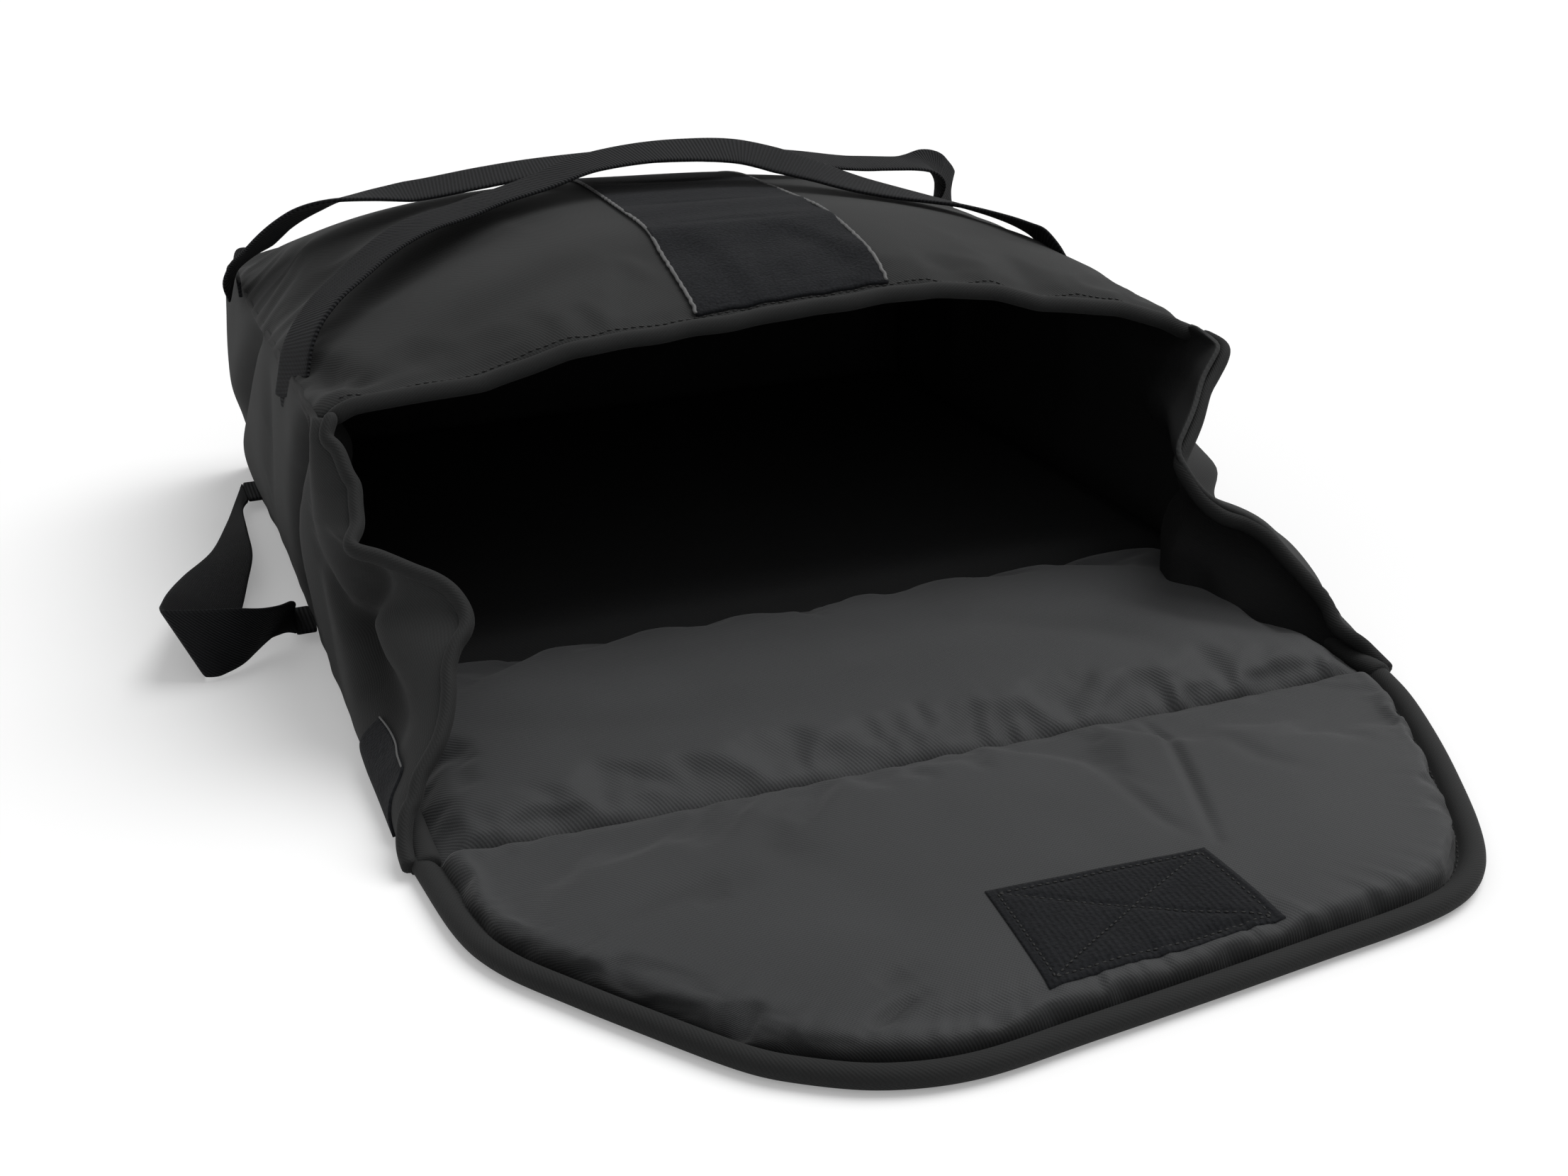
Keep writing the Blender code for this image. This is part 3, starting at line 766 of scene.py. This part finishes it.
def build_top():
    """The domed top, its front hem and their stitching."""
    front = -0.2035

    def outer(u, v):
        x = (2 * u - 1) * HALF
        y = front + (REAR - front) * v
        z = top_surface(x, y)
        edge = HALF - np.abs(x)
        z += gathers(y, edge, 0.040, 0.030, 0.0012, 3)
        z -= 0.0040 * hill(edge, 0.005)
        z -= 0.0045 * hill(y - front, 0.006)
        return x, y, z

    def inner(place, normals, u, v):
        edge = np.minimum(HALF - np.abs(place[:, 0]), np.minimum(place[:, 1] - front, REAR - place[:, 1]))
        return place - normals * pad_depth(edge)[:, None]

    def gathered(x, y):
        return gathers(x, y - front, 0.034, 0.022, 0.0009, 8)

    top, sewn = panel("domed_top", (98, 84), (0.52, 0.43), outer, inner, (0, 0, 1), (OUTER, SHADED_INSIDE))
    stuff(top, sewn, 1.5, 0.02, 0.0025)
    smooth(top)
    crease(top, TOP_FOLDS, gathered, lambda x, y: HALF - np.abs(x))
    worn(top, "bag_body", "outer_cloth", "top_shell", "top_pad", "top_lining")
    cloth = surface_of(top)

    x = np.linspace(-0.2375, 0.2460, HEM_POINTS)
    wave = gathers(x, np.zeros(HEM_POINTS), 0.05, 1.0, 0.0010, 21)
    drop = 0.0016 * ramp((np.abs(x) - 0.225) / 0.015)
    height = top_surface(x, front) - 0.0060 - drop + wave * 0.5
    line = np.column_stack((x, MOUTH + 0.0018 + wave, height))
    section = (
        (-0.0044, 0), (-0.0041, -0.0028), (-0.0025, -0.0044), (0.0005, -0.0048), (0.0030, -0.0040),
        (0.0042, -0.0020), (0.0046, 0.0004), (0.0040, 0.0028), (0.0020, 0.0042), (-0.0008, 0.0046),
        (-0.0028, 0.0038), (-0.0041, 0.0020),
    )
    hem = sleeve("lip_roll", line, (0.0, 0.25, 1.0), section, HEM, rounding=(0.005, 0.003))
    worn(hem, "bag_body", "outer_cloth", "lip_hem")
    behind = front + 0.0040
    seam = np.column_stack((x, behind + wave * 0.4, top_surface(x, behind) - 0.0012))
    seam = laid(cloth, seam[2:-2], (0, 0, -1), 0.0002)
    worn(stitch_row("lip_stitches", seam, (0, -0.2, 1), 0.0042), "bag_body", "outer_cloth")
    return cloth


# Folds drawn on the side walls and gussets: places along and up the wall, width and depth
LEFT_FOLDS = (
    (((0.010, 0.149), (0.060, 0.112), (0.113, 0.075), (0.165, 0.040), (0.204, 0.012)), 0.014, 0.0190),
    (((-0.210, 0.158), (-0.185, 0.136), (-0.169, 0.116), (-0.140, 0.070), (-0.120, 0.030)), 0.013, 0.0190),
    (((-0.050, 0.140), (-0.045, 0.090), (-0.010, 0.050)), 0.018, 0.0040),
    (((-0.217, 0.080), (-0.237, 0.064), (-0.267, 0.050)), 0.007, 0.0080),
    (((-0.245, 0.102), (-0.262, 0.084), (-0.258, 0.058), (-0.283, 0.042), (-0.315, 0.034),
      (-0.350, 0.026)), 0.012, 0.0150),
)
RIGHT_FOLDS = (
    (((0.105, 0.140), (0.100, 0.090), (0.092, 0.030)), 0.016, 0.0060),
    (((-0.070, 0.138), (-0.082, 0.080), (-0.070, 0.030)), 0.020, 0.0040),
    (((-0.330, 0.088), (-0.290, 0.064), (-0.262, 0.045), (-0.215, 0.022)), 0.019, 0.0240),
)
# Where the right gusset's inner cloth lies on the front wall, along the bag and across it
RIGHT_INNER = np.array((
    (-0.405, 0.222), (-0.375, 0.223), (-0.352, 0.224), (-0.340, 0.212), (-0.331, 0.201), (-0.303, 0.199),
    (-0.290, 0.185), (-0.260, 0.195), (-0.210, 0.226),
))


def build_side(side, sign):
    """A side wall and its soft gusset as one cloth, with the rolled hem on the free edge."""
    mouth = resample(LEFT_MOUTH if sign < 0 else RIGHT_MOUTH, HEM_POINTS)
    top_z = mouth[-1, 2]
    folds = LEFT_FOLDS if sign < 0 else RIGHT_FOLDS

    def outer(u, v):
        height = v * top_z
        hem_x = np.interp(height, mouth[:, 2], mouth[:, 0])
        hem_y = np.interp(height, mouth[:, 2], mouth[:, 1])
        y = REAR + (hem_y - REAR) * u
        seam = np.where(y > MOUTH, side_seam(y), FRONT_SEAM) + side_sag(y, sign)
        z = LOW_EDGE + (seam - LOW_EDGE) * v
        inside = np.clip((z - WALL * 0.4) / (seam - WALL), 0, 1)
        front = np.clip((y - MOUTH) / DEPTH, 0, 1)
        bulge = 0.009 * np.sin(np.pi * front) ** 0.6 * np.sin(np.pi * inside) ** 0.8
        if sign < 0:
            low = hill(y - 0.135, 0.060) * hill(z - 0.045, 0.050)
            high = hill(y - 0.185, 0.035) * hill(z - 0.095, 0.040)
            lobe = hill(y + 0.185, 0.030) * hill(z - 0.085, 0.055)
            bulge += 0.006 * low * ramp(front * 12) + 0.003 * high + 0.005 * lobe
        else:
            bulge *= 0.2 + 0.8 * ramp((z - 0.012) / 0.060)
        x = HALF + bulge
        x += gathers(y, seam - z, 0.050, 0.024, 0.0009, 31 + sign)
        x += gathers(y, z, 0.055, 0.020, 0.0009, 37 + sign)
        x -= 0.0030 * hill(seam - z, 0.005)
        t = np.clip((MOUTH - y) / np.maximum(MOUTH - hem_y, 1e-4), 0, 1)
        if sign < 0:
            curl = t ** 1.7
            x = x * (1 - curl) + hem_x * curl
            x += 0.007 * np.sin(np.pi * t) ** 0.8 * np.sin(np.pi * np.clip(v, 0, 1)) ** 0.7
        else:
            near = hem_x + 0.50 * (y - hem_y)
            soft = 0.004 * (1 - t ** 3) + 1e-5
            x = np.minimum(x, near) - soft * np.log1p(np.exp(-np.abs(x - near) / soft))
        free = ramp((1 - u) * 14) * ramp(v * 10) * ramp((1 - v) * 12)
        for line, width, depth in folds:
            x += fold(y, z, line, width, depth) * free
        return sign * x, y, z

    def inner(place, normals, u, v):
        edge = np.minimum(np.minimum(v, 1 - v) * 0.15, u * 0.6)
        depth = pad_depth(edge, ramp((place[:, 1] + 0.235) / 0.04))
        behind = place - normals * depth[:, None]
        if sign > 0:
            rest = np.interp(place[:, 1], RIGHT_INNER[:, 0], RIGHT_INNER[:, 1])
            share = ramp((MOUTH - 0.010 - place[:, 1]) / 0.05)
            share *= ramp((0.62 - v) / 0.35) * ramp((1 - u) * 9)
            behind[:, 0] = behind[:, 0] * (1 - share) + np.minimum(rest, behind[:, 0]) * share
        return behind

    wall = panel(side + "_side", (150, 44), (0.60, 0.155), outer, inner, (sign, 0, 0), (OUTER, SHADED_INSIDE))[0]
    smooth(wall)
    points = points_of(wall)
    y = points[:, 1]
    z = points[:, 2]
    deep = 0.012
    pressed = sum(fold(y, z, line, width * 1.1, 1.0) * min(1, depth / deep) for line, width, depth in folds)
    seam = side_seam(y) + side_sag(y, sign) - z
    shade(wall, -pressed + seam_shadow(seam, 0.0050) * ramp((y - MOUTH) / 0.01))
    follow_front_wall(wall)
    nodes = [side + end for end in ("_side_shell", "_side_pad", "_side_lining", "_gusset")]
    worn(wall, None, "outer_cloth", *nodes)
    cloth = surface_of(wall)

    section = round_section(0.0044, 0.0038)
    # Painted shade: the right hem takes the darker copy of the hem cloth.
    finish = HEM if sign < 0 else SHADED_HEM
    line = mouth * (sign, 1, 1)
    hem = sleeve(side + "_mouth_roll", line, (0.0, -0.6, 0.8), section, finish, rounding=(0.0, 0.0045))
    follow_front_wall(hem)
    worn(hem, None, "outer_cloth", side + "_mouth_hem")
    return cloth


# Folds drawn on the rear wall: places across and up the wall, width and depth
REAR_FOLDS = (
    (((-0.200, 0.140), (-0.150, 0.090), (-0.140, 0.040)), 0.020, 0.0035),
    (((0.225, 0.130), (0.160, 0.100), (0.080, 0.090)), 0.022, 0.0030),
    (((-0.050, 0.030), (0.040, 0.050), (0.150, 0.030)), 0.024, 0.0025),
)


def build_rear():
    """The padded rear wall."""
    def outer(u, v):
        x = (2 * u - 1) * HALF
        seam = top_surface(x, REAR) - 0.0004
        z = LOW_EDGE + (seam - LOW_EDGE) * v
        bulge = 0.0085 * np.sin(np.pi * u) ** 0.6 * np.sin(np.pi * v) ** 0.7
        y = REAR + bulge + gathers(x, seam - z, 0.04, 0.03, 0.0016, 41)
        y += gathers(x, z, 0.05, 0.03, 0.0014, 43)
        y -= 0.0025 * hill(seam - z, 0.004)
        for line, width, depth in REAR_FOLDS:
            y += fold(x, z, line, width, depth)
        return x, y, z

    def inner(place, normals, u, v):
        edge = np.minimum(np.minimum(u, 1 - u) * 0.49, np.minimum(v, 1 - v) * 0.14)
        return place - normals * pad_depth(edge)[:, None]

    wall = panel("rear_wall", (98, 28), (0.49, 0.142), outer, inner, (0, 1, 0), (OUTER, SHADED_INSIDE))[0]
    smooth(wall)
    points = points_of(wall)
    below = top_surface(points[:, 0], REAR) - points[:, 2]
    shade(wall, seam_shadow(below, 0.004))
    worn(wall, "bag_body", "outer_cloth", "rear_shell", "rear_pad", "rear_lining")


def build_floor_panel():
    """The padded floor inside."""
    def outer(u, v):
        x = (2 * u - 1) * (HALF - 0.001)
        y = MOUTH - 0.0005 + (REAR - MOUTH) * v
        edge = np.minimum(HALF - np.abs(x), np.minimum(y - MOUTH, REAR - y))
        z = 0.0052 + 0.0080 * ramp(edge / 0.022) + gathers(x, y - MOUTH, 0.035, 0.018, 0.001, 51)
        return x, y, z

    cloths = (SHADED_FLOOR_CLOTH, OUTER)
    floor = panel("floor_panel", (80, 70), (0.49, 0.42), outer, on_ground, (0, 0, 1), cloths)[0]
    smooth(floor)
    worn(floor, "bag_body", "inner_cloth", "bottom_shell", "bottom_pad", "bottom_lining")


# Folds drawn on the front wall's lining: places across and along the bag, width and depth
FRONT_FOLDS = (
    (((-0.215, -0.300), (-0.150, -0.330), (-0.060, -0.345)), 0.020, 0.0018),
    (((0.060, -0.290), (0.120, -0.330), (0.150, -0.372)), 0.014, 0.0020),
    (((0.150, -0.300), (0.170, -0.335), (0.205, -0.365)), 0.010, 0.0020),
)


def build_front_wall():
    """The puffed wall between the floor and the flap, with a hem strip along each side."""
    rear = MOUTH + 0.0035
    front = CREASE - 0.0010

    def outer(u, v):
        x = (2 * u - 1) * (FRONT_HALF - 0.0005)
        y = front + (rear - front) * v
        edge = np.minimum(FRONT_HALF - np.abs(x), rear - y + 0.004)
        near = y - front
        shoulder = rounded(near, 0.018)
        z = 0.0030 + 0.0100 * ramp(edge / 0.020) * shoulder
        z += 0.0065 * ramp(edge / 0.07) * np.sin(np.pi * np.clip(near / 0.19, 0, 1)) ** 0.6
        return x, y, z

    cloths = (LINING, OUTER)
    pad, sewn = panel("front_wall_quilt", (110, 50), (0.47, 0.20), outer, on_ground, (0, 0, 1), cloths)
    low = points_of(pad)[:, 2] < 0.003
    stuff(pad, sewn | low, 1.6, 0.03, 0.004)

    def gathered(x, y):
        near = y - front
        amount = (0.05 + 0.95 * ramp((x + 0.03) / 0.10)) * ramp((0.230 - np.abs(x)) / 0.02)
        fine = gathers(x, near, 0.012, 0.014, 0.0026, 61) + gathers(x, near, 0.026, 0.026, 0.0014, 64)
        return fine * amount * ramp(near / 0.004)

    smooth(pad)
    crease(pad, FRONT_FOLDS, gathered, lambda x, y: np.minimum(y - front, FRONT_HALF - np.abs(x)))
    worn(pad, "front_wall", "inner_cloth", "front_wall_shell", "front_wall_pad", "front_wall_lining")
    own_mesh(pad)

    y = np.linspace(MOUTH + 0.006, CREASE - 0.003, 60)
    height = 0.0058 + gathers(y, np.zeros(y.shape), 0.05, 1, 0.0006, 71)
    for side, sign in (("left", -1), ("right", 1)):
        line = np.column_stack((np.full(y.shape, sign * 0.2376), y, height))
        strip = sleeve(side + "_front_strip", line, (1.0, 0, 0), round_section(0.0057, 0.0052), HEM)
        worn(strip, "front_wall", "binding", "front_wall_" + side + "_binding")
        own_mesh(strip)


def flap_edge(inset):
    """The flap's outline from its right end round the tip to its left end, drawn in by the inset."""
    y = CREASE - 0.0003 - FLAP_OUTLINE[:, 1]
    line = resample(np.column_stack((FLAP_OUTLINE[:, 0], y, np.zeros(len(y)))), 240)
    for turn in range(5):
        line[1:-1] = (line[:-2] + 2 * line[1:-1] + line[2:]) / 4
    ahead = unit(np.gradient(line, axis=0))
    inward = np.column_stack((ahead[:, 1], -ahead[:, 0], ahead[:, 2]))
    return line + inward * inset, inward


def flap_grid(u, v, inset, wave):
    """Places inside the drawn-in outline, from the tip up to the crease."""
    line, inward = flap_edge(inset)
    along = np.linspace(0, 0.72, len(line))
    line = line + inward * gathers(along, np.zeros(len(line)), 0.028, 1, wave, 87)[:, None]
    line[:, 1] = np.minimum(line[:, 1], CREASE + 0.0004)
    right_corner = np.argmin(np.hypot(line[:, 0] - 0.158, line[:, 1] + 0.568))
    left_corner = np.argmin(np.hypot(line[:, 0] + 0.160, line[:, 1] + 0.575))
    share = np.linspace(0, 1, 90)
    right = resample(line[:right_corner + 1], len(share))[::-1]
    tip = resample(line[right_corner:left_corner + 1], len(share))[::-1]
    left = resample(line[left_corner:], len(share))
    place = []
    for axis in (0, 1):
        low = np.interp(u, share, tip[:, axis])
        high = left[-1, axis] * (1 - u) + right[-1, axis] * u
        from_left = np.interp(v, share, left[:, axis])
        from_right = np.interp(v, share, right[:, axis])
        corners = (1 - v) * (tip[0, axis] * (1 - u) + tip[-1, axis] * u) + v * high
        place.append((1 - v) * low + v * high + (1 - u) * from_left + u * from_right - corners)
    return place[0], place[1], line


# Folds drawn on the flap's lining: places across and along the bag, width and depth
FLAP_FOLDS = (
    (((0.0995, -0.411), (0.0985, -0.436), (0.0810, -0.488), (0.0640, -0.536)), 0.0028, 0.0024),
    (((0.0515, -0.435), (0.0530, -0.476), (0.0530, -0.511), (0.0560, -0.527)), 0.0040, 0.0012),
    (((0.1190, -0.440), (0.1210, -0.460), (0.1225, -0.478), (0.1330, -0.494)), 0.0060, 0.0012),
    (((-0.095, -0.440), (-0.103, -0.465), (-0.100, -0.485)), 0.010, 0.0016),
    (((-0.190, -0.500), (-0.160, -0.490), (-0.140, -0.486), (-0.128, -0.486)), 0.008, 0.0018),
    (((-0.150, -0.500), (-0.132, -0.494)), 0.006, 0.0012),
    (((-0.118, -0.600), (-0.103, -0.592), (-0.092, -0.588)), 0.0035, 0.0030),
    (((-0.106, -0.578), (-0.090, -0.573)), 0.006, 0.0014),
)


def build_flap():
    """The closing flap: a lined pad inside a rolled hem with a stitched channel."""
    rear = CREASE + 0.0004

    def outer(u, v):
        x, y, drawn = flap_grid(u, v, FLAP_SEAM, 0.0007)
        rim = near_line(x, y, drawn)[0]
        edge = np.minimum(rim, (rear - y) * 0.8 + 0.001)
        shoulder = rounded(edge, 0.009)
        z = 0.0032 + 0.0095 * shoulder + 0.0020 * ramp(edge / 0.07)
        along = np.arctan2(y + 0.44, x) * 0.18
        z += gathers(along, rim, 0.016, 0.012, 0.0006, 81) * ramp((rear - y) / 0.03) * ramp(rim / 0.004)
        return x, y, z

    cloths = (LINING, OUTER)
    pad, sewn = panel("flap_quilt", (116, 60), (0.45, 0.20), outer, on_ground, (0, 0, 1), cloths)
    low = points_of(pad)[:, 2] < 0.003
    stuff(pad, sewn | low, 1.2, 0.03, 0.003)
    edge_line = flap_edge(FLAP_SEAM)[0]

    def gathered(x, y):
        rim = near_line(x, y, edge_line)[0]
        along = np.arctan2(y + 0.44, x) * 0.20
        fine = gathers(along, rim, 0.011, 0.013, 0.0008, 85) * ramp((rear - y) / 0.03) * ramp(rim / 0.003)
        return fine + gathers(x, rear - y, 0.020, 0.012, 0.0005, 83) * ramp((rear - y) / 0.005)

    def seams(x, y):
        return np.minimum(near_line(x, y, edge_line)[0], rear - y)

    smooth(pad)
    crease(pad, FLAP_FOLDS, gathered, seams)
    worn(pad, "flap", "inner_cloth", "flap_shell", "flap_pad", "flap_lining")
    cloth = surface_of(pad)

    line, inward = flap_edge(0.0052)
    line[:, 2] = 0.0049
    section = np.array((
        (-0.0052, 0), (-0.0046, -0.0026), (-0.0028, -0.0042), (0.0008, -0.0046), (0.0060, -0.0046),
        (0.0090, -0.0046), (0.0096, -0.0036), (0.0090, -0.0020), (0.0068, -0.0010), (0.0054, 0.0006),
        (0.0044, 0.0024), (0.0022, 0.0042), (-0.0006, 0.0046), (-0.0032, 0.0038), (-0.0047, 0.0020),
    )) * (1, -1)
    hem = sleeve("flap_roll", line, inward, section, HEM)
    worn(hem, "flap", "binding", "flap_hem")
    seam = flap_edge(0.0112)[0]
    seam[:, 2] = 0.0046
    worn(stitch_row("flap_stitches", seam[5:-5], (0, 0, 1), 0.0042), "flap", "binding")
    return cloth


# Corners of the hook patch on the flap, from the left one at the tip round
HOOK_CORNERS = ((-0.0470, -0.6020), (0.0590, -0.5930), (0.0550, -0.5400), (-0.0415, -0.5360))


def build_hook_patch(cloth):
    """The ribbed closure patch on the flap's tip, sewn round its edge and from corner to corner."""
    def outer(u, v):
        x, y = between(HOOK_CORNERS, u, v)
        edge = np.minimum(np.minimum(u, 1 - u) * 0.100, np.minimum(v, 1 - v) * 0.060)
        z = laid(cloth, np.column_stack((x, y, np.full(len(x), 0.02))), (0, 0, -1), 0.0013)[:, 2]
        seam = np.minimum(np.minimum(np.abs(u - v), np.abs(u - 1 + v)) * 0.055, np.abs(edge - 0.004))
        z -= 0.0008 * hill(np.minimum(seam, edge), 0.0018)
        return x, y, z

    patch = panel("hook_square", (84, 56), (0.103, 0.062), outer, tape_back(0.0016), (0, 0, 1), (HOOK,))[0]
    smooth(patch, 0)
    worn(patch, "flap", "hook_tape", "hook_patch")
    top = surface_of(patch)
    corners = ((0.04, 0.06), (0.96, 0.06), (0.96, 0.94), (0.04, 0.94), (0.04, 0.06))
    runs = list(zip(corners[:-1], corners[1:])) + [(corners[0], corners[2]), (corners[1], corners[3])]
    for index, (start, end) in enumerate(runs):
        u = np.linspace(start[0], end[0], 14)
        v = np.linspace(start[1], end[1], 14)
        x, y = between(HOOK_CORNERS, u, v)
        line = laid(top, np.column_stack((x, y, np.full(x.shape, 0.03))), (0, 0, -1), 0.0001)
        worn(stitch_row("hook_stitches_%d" % index, line, (0, 0, 1), 0.0032), "flap", "hook_tape")


def build_loop_panel(cloth):
    """The wide closure tape over the top, with pale frayed edges."""
    def place_on(x, y, lift):
        return laid(cloth, np.column_stack((x, y, top_surface(x, y) + 0.02)), (0, 0, -1), lift)

    def outer(u, v):
        x = -0.0435 + 0.107 * u
        y = -0.1990 + 0.300 * v
        z = place_on(x, y, 0.0018)[:, 2]
        z += gathers(y, np.zeros(y.shape), 0.05, 1, 0.0005, 91)
        z += fold(x, y, ((-0.035, -0.055), (0.055, -0.062)), 0.004, 0.0010)
        z += fold(x, y, ((-0.035, -0.110), (0.055, -0.118)), 0.004, 0.0008)
        z += fold(x, y, ((-0.035, 0.015), (0.055, 0.010)), 0.004, 0.0010)
        return x, y, z

    tape = panel("loop_band", (60, 130), (0.107, 0.300), outer, tape_back(0.0030), (0, 0, 1), (LOOP,))[0]
    smooth(tape, 0)
    worn(tape, "bag_body", "loop_tape", "top_loop_panel")
    y = np.linspace(-0.1980, 0.098, 200)
    wave = gathers(y, np.zeros(y.shape), 0.007, 1, 0.0008, 95)
    for side, x in (("left", -0.0432), ("right", 0.0632)):
        line = place_on(x + wave, y, 0.0016)
        edge = sleeve("loop_fray_" + side, line, (1.0, 0, 0), round_section(0.0012, 0.0008, 8), FRAY)
        worn(edge, "bag_body", "loop_tape")


def build_side_patch(side, sign, cloth):
    """The small closure patch low on the side, its upper edge frayed."""
    corners = ((-0.372, 0.004), (-0.292, 0.004), (-0.300, 0.029), (-0.352, 0.027))
    facing = (sign, 0, 0)

    def place_on(y, z, lift):
        return laid(cloth, np.column_stack((np.full(len(y), sign * 0.27), y, z)), (-sign, 0, 0), lift)

    def outer(u, v):
        y, z = between(corners, u, v)
        return place_on(y, z, 0.0014)[:, 0], y, z

    name = side + "_loop_square"
    patch = panel(name, (46, 18), (0.085, 0.026), outer, tape_back(0.0018), facing, (LOOP,))[0]
    smooth(patch, 0)
    follow_front_wall(patch)
    worn(patch, None, "loop_tape", side + "_loop_patch")
    y = np.linspace(corners[3][0], corners[2][0], 40)
    z = np.linspace(corners[3][1], corners[2][1], 40)
    line = place_on(y, z, 0.0016)
    edge = sleeve(side + "_loop_fray", line, (0, 0, 1.0), round_section(0.0006, 0.0005, 8), FRAY)
    follow_front_wall(edge)
    worn(edge, None, "loop_tape")


def turned(centres, table):
    """The direction across the webbing at each centre, read from a table by its place across the bag."""
    return np.column_stack([np.interp(centres[:, 0], table[:, 0], table[:, axis]) for axis in (1, 2, 3)])


def build_handle(name, centres, table):
    """A carry handle of webbing over the top, and the sewn ends it grows from."""
    line = resample(centres, HANDLE_POINTS)
    over = np.abs(line[:, 0]) < 0.205
    clear = np.maximum(line[:, 2], top_surface(line[:, 0], line[:, 1]) + 0.0035)
    line[:, 2] = np.where(over, clear, line[:, 2])
    line = resample(line[::3], HANDLE_POINTS)
    strap = sleeve(name + "_strap", line, turned(line, table), STRAP_SECTION, STRAP)
    worn(strap, name, "strap", name)
    for side, sign, foot in (("left", -1, centres[0]), ("right", 1, centres[-1])):
        z = np.linspace(foot[2] + 0.001, foot[2] - 0.009, 14)
        end = np.column_stack((np.full(z.shape, foot[0] - sign * 0.0035), np.full(z.shape, foot[1]), z))
        tab = sleeve(name + "_" + side + "_end", end, turned(end, table), STRAP_SECTION, STRAP)
        worn(tab, "bag_body", "strap", name + "_" + side + "_tab")


def build_grab_loop(side, sign):
    """A side loop folded over itself and lying out on the ground, and its sewn ends."""
    spin = (sign * -1, sign * -1, 1)
    first = np.vstack((resample(LOOP_OUT_EDGE, 70), resample(LOOP_BACK_EDGE, 50)))
    second = np.vstack((resample(LOOP_OUT_HEM, 70), resample(LOOP_BACK_HEM, 50)))
    strap = strap_between(side + "_grab_strap", first * spin, second * spin, STRAP)
    worn(strap, side + "_grab_loop", "strap", side + "_grab_loop")
    ends = ("rear", "front") if sign < 0 else ("front", "rear")
    for end, first_y in zip(ends, (0.130, -0.110)):
        x = np.linspace(HALF + 0.0004, HALF + 0.0126, 8)
        root = np.column_stack((sign * x, np.full(x.shape, -sign * first_y), np.full(x.shape, 0.007)))
        tab = sleeve(side + "_grab_" + end + "_end", root, (0, 1.0, 0), STRAP_SECTION, STRAP)
        worn(tab, "bag_body", "strap", side + "_grab_" + end + "_tab")


def rear_handle_line():
    """Centres of the rear handle, leaning forward over the top."""
    out = REAR_ARCH[:, 0] * HANDLE_HALF
    lean = math.radians(52)
    reach = HANDLE_REACH * REAR_ARCH[:, 1]
    return np.column_stack((out, STRAP_Y - reach * math.sin(lean), PIVOT_REAR + reach * math.cos(lean)))


def build_room():
    """A plain pale floor, a soft studio light and the camera."""
    bpy.ops.object.select_all(action="DESELECT")
    bpy.ops.mesh.primitive_plane_add(size=30, location=(0, 0, -0.0004))
    ground = bpy.context.object
    ground.name = "ground"
    finish = Finish("ground", 1.0, 0.0, 0.0)
    finish.colour(grey(0.80))
    seen = finish.node("ShaderNodeLightPath", {}, {}, "Is Camera Ray")
    glow = finish.node("ShaderNodeEmission", {}, {"Color": grey(1.0), "Strength": seen * 0.24})
    both = finish.node("ShaderNodeAddShader", {}, {0: Value(finish, finish.shader.outputs[0]), 1: glow})
    finish.links.new(both.socket, finish.output.inputs["Surface"])
    ground.data.materials.append(finish.material)

    world = bpy.data.worlds.new("studio")
    bpy.context.scene.world = world
    world.use_nodes = True
    nodes = world.node_tree.nodes
    background = nodes["Background"]
    background.inputs["Color"].default_value = (1, 1, 1, 1)
    seen = nodes.new("ShaderNodeLightPath")
    strength = nodes.new("ShaderNodeMath")
    strength.operation = "MULTIPLY_ADD"
    strength.inputs[1].default_value = 0.58
    strength.inputs[2].default_value = 0.42
    world.node_tree.links.new(seen.outputs["Is Camera Ray"], strength.inputs[0])
    world.node_tree.links.new(strength.outputs[0], background.inputs["Strength"])

    sun = bpy.data.lights.new("key", "SUN")
    sun.energy = 2.05
    sun.angle = math.radians(48)
    fill = bpy.data.lights.new("fill", "AREA")
    fill.energy = 3.5
    fill.size = 1.8
    for lamp, place in ((sun, (1.1, 0.15, 1.9)), (fill, (-0.5, -2.6, 1.5))):
        holder = bpy.data.objects.new(lamp.name, lamp)
        bpy.context.scene.collection.objects.link(holder)
        holder.location = place
        aim = Vector((0, -0.1, 0.1)) - Vector(place)
        holder.rotation_euler = aim.to_track_quat("-Z", "Y").to_euler()

    azimuth = math.radians(-19.525)
    height = math.radians(21.893)
    roll = math.radians(-1.990)
    out = math.cos(height)
    back = Vector((math.sin(azimuth) * out, -math.cos(azimuth) * out, math.sin(height)))
    right = Vector((math.cos(azimuth), math.sin(azimuth), 0))
    up = back.cross(right)
    level = right * math.cos(roll) + up * math.sin(roll)
    upright = up * math.cos(roll) - right * math.sin(roll)
    lens = bpy.data.cameras.new("camera")
    lens.sensor_width = 36
    lens.lens = 45.22
    lens.clip_start = 0.01
    camera = bpy.data.objects.new("camera", lens)
    bpy.context.scene.collection.objects.link(camera)
    turn = Matrix((level, upright, back)).transposed().to_4x4()
    turn.translation = Vector((-0.3367, -1.1451, 0.4196))
    camera.matrix_world = turn
    bpy.context.scene.camera = camera
    bpy.context.scene.view_settings.view_transform = "Standard"


build_room()
build_floor_panel()
build_rear()
walls = {"left": build_side("left", -1), "right": build_side("right", 1)}
build_loop_panel(build_top())
build_front_wall()
build_hook_patch(build_flap())
build_side_patch("left", -1, walls["left"])
build_side_patch("right", 1, walls["right"])
build_handle("front_handle", FRONT_HANDLE, FRONT_HANDLE_TURN)
build_handle("rear_handle", rear_handle_line(), REAR_HANDLE_TURN)
build_grab_loop("left", -1)
build_grab_loop("right", 1)
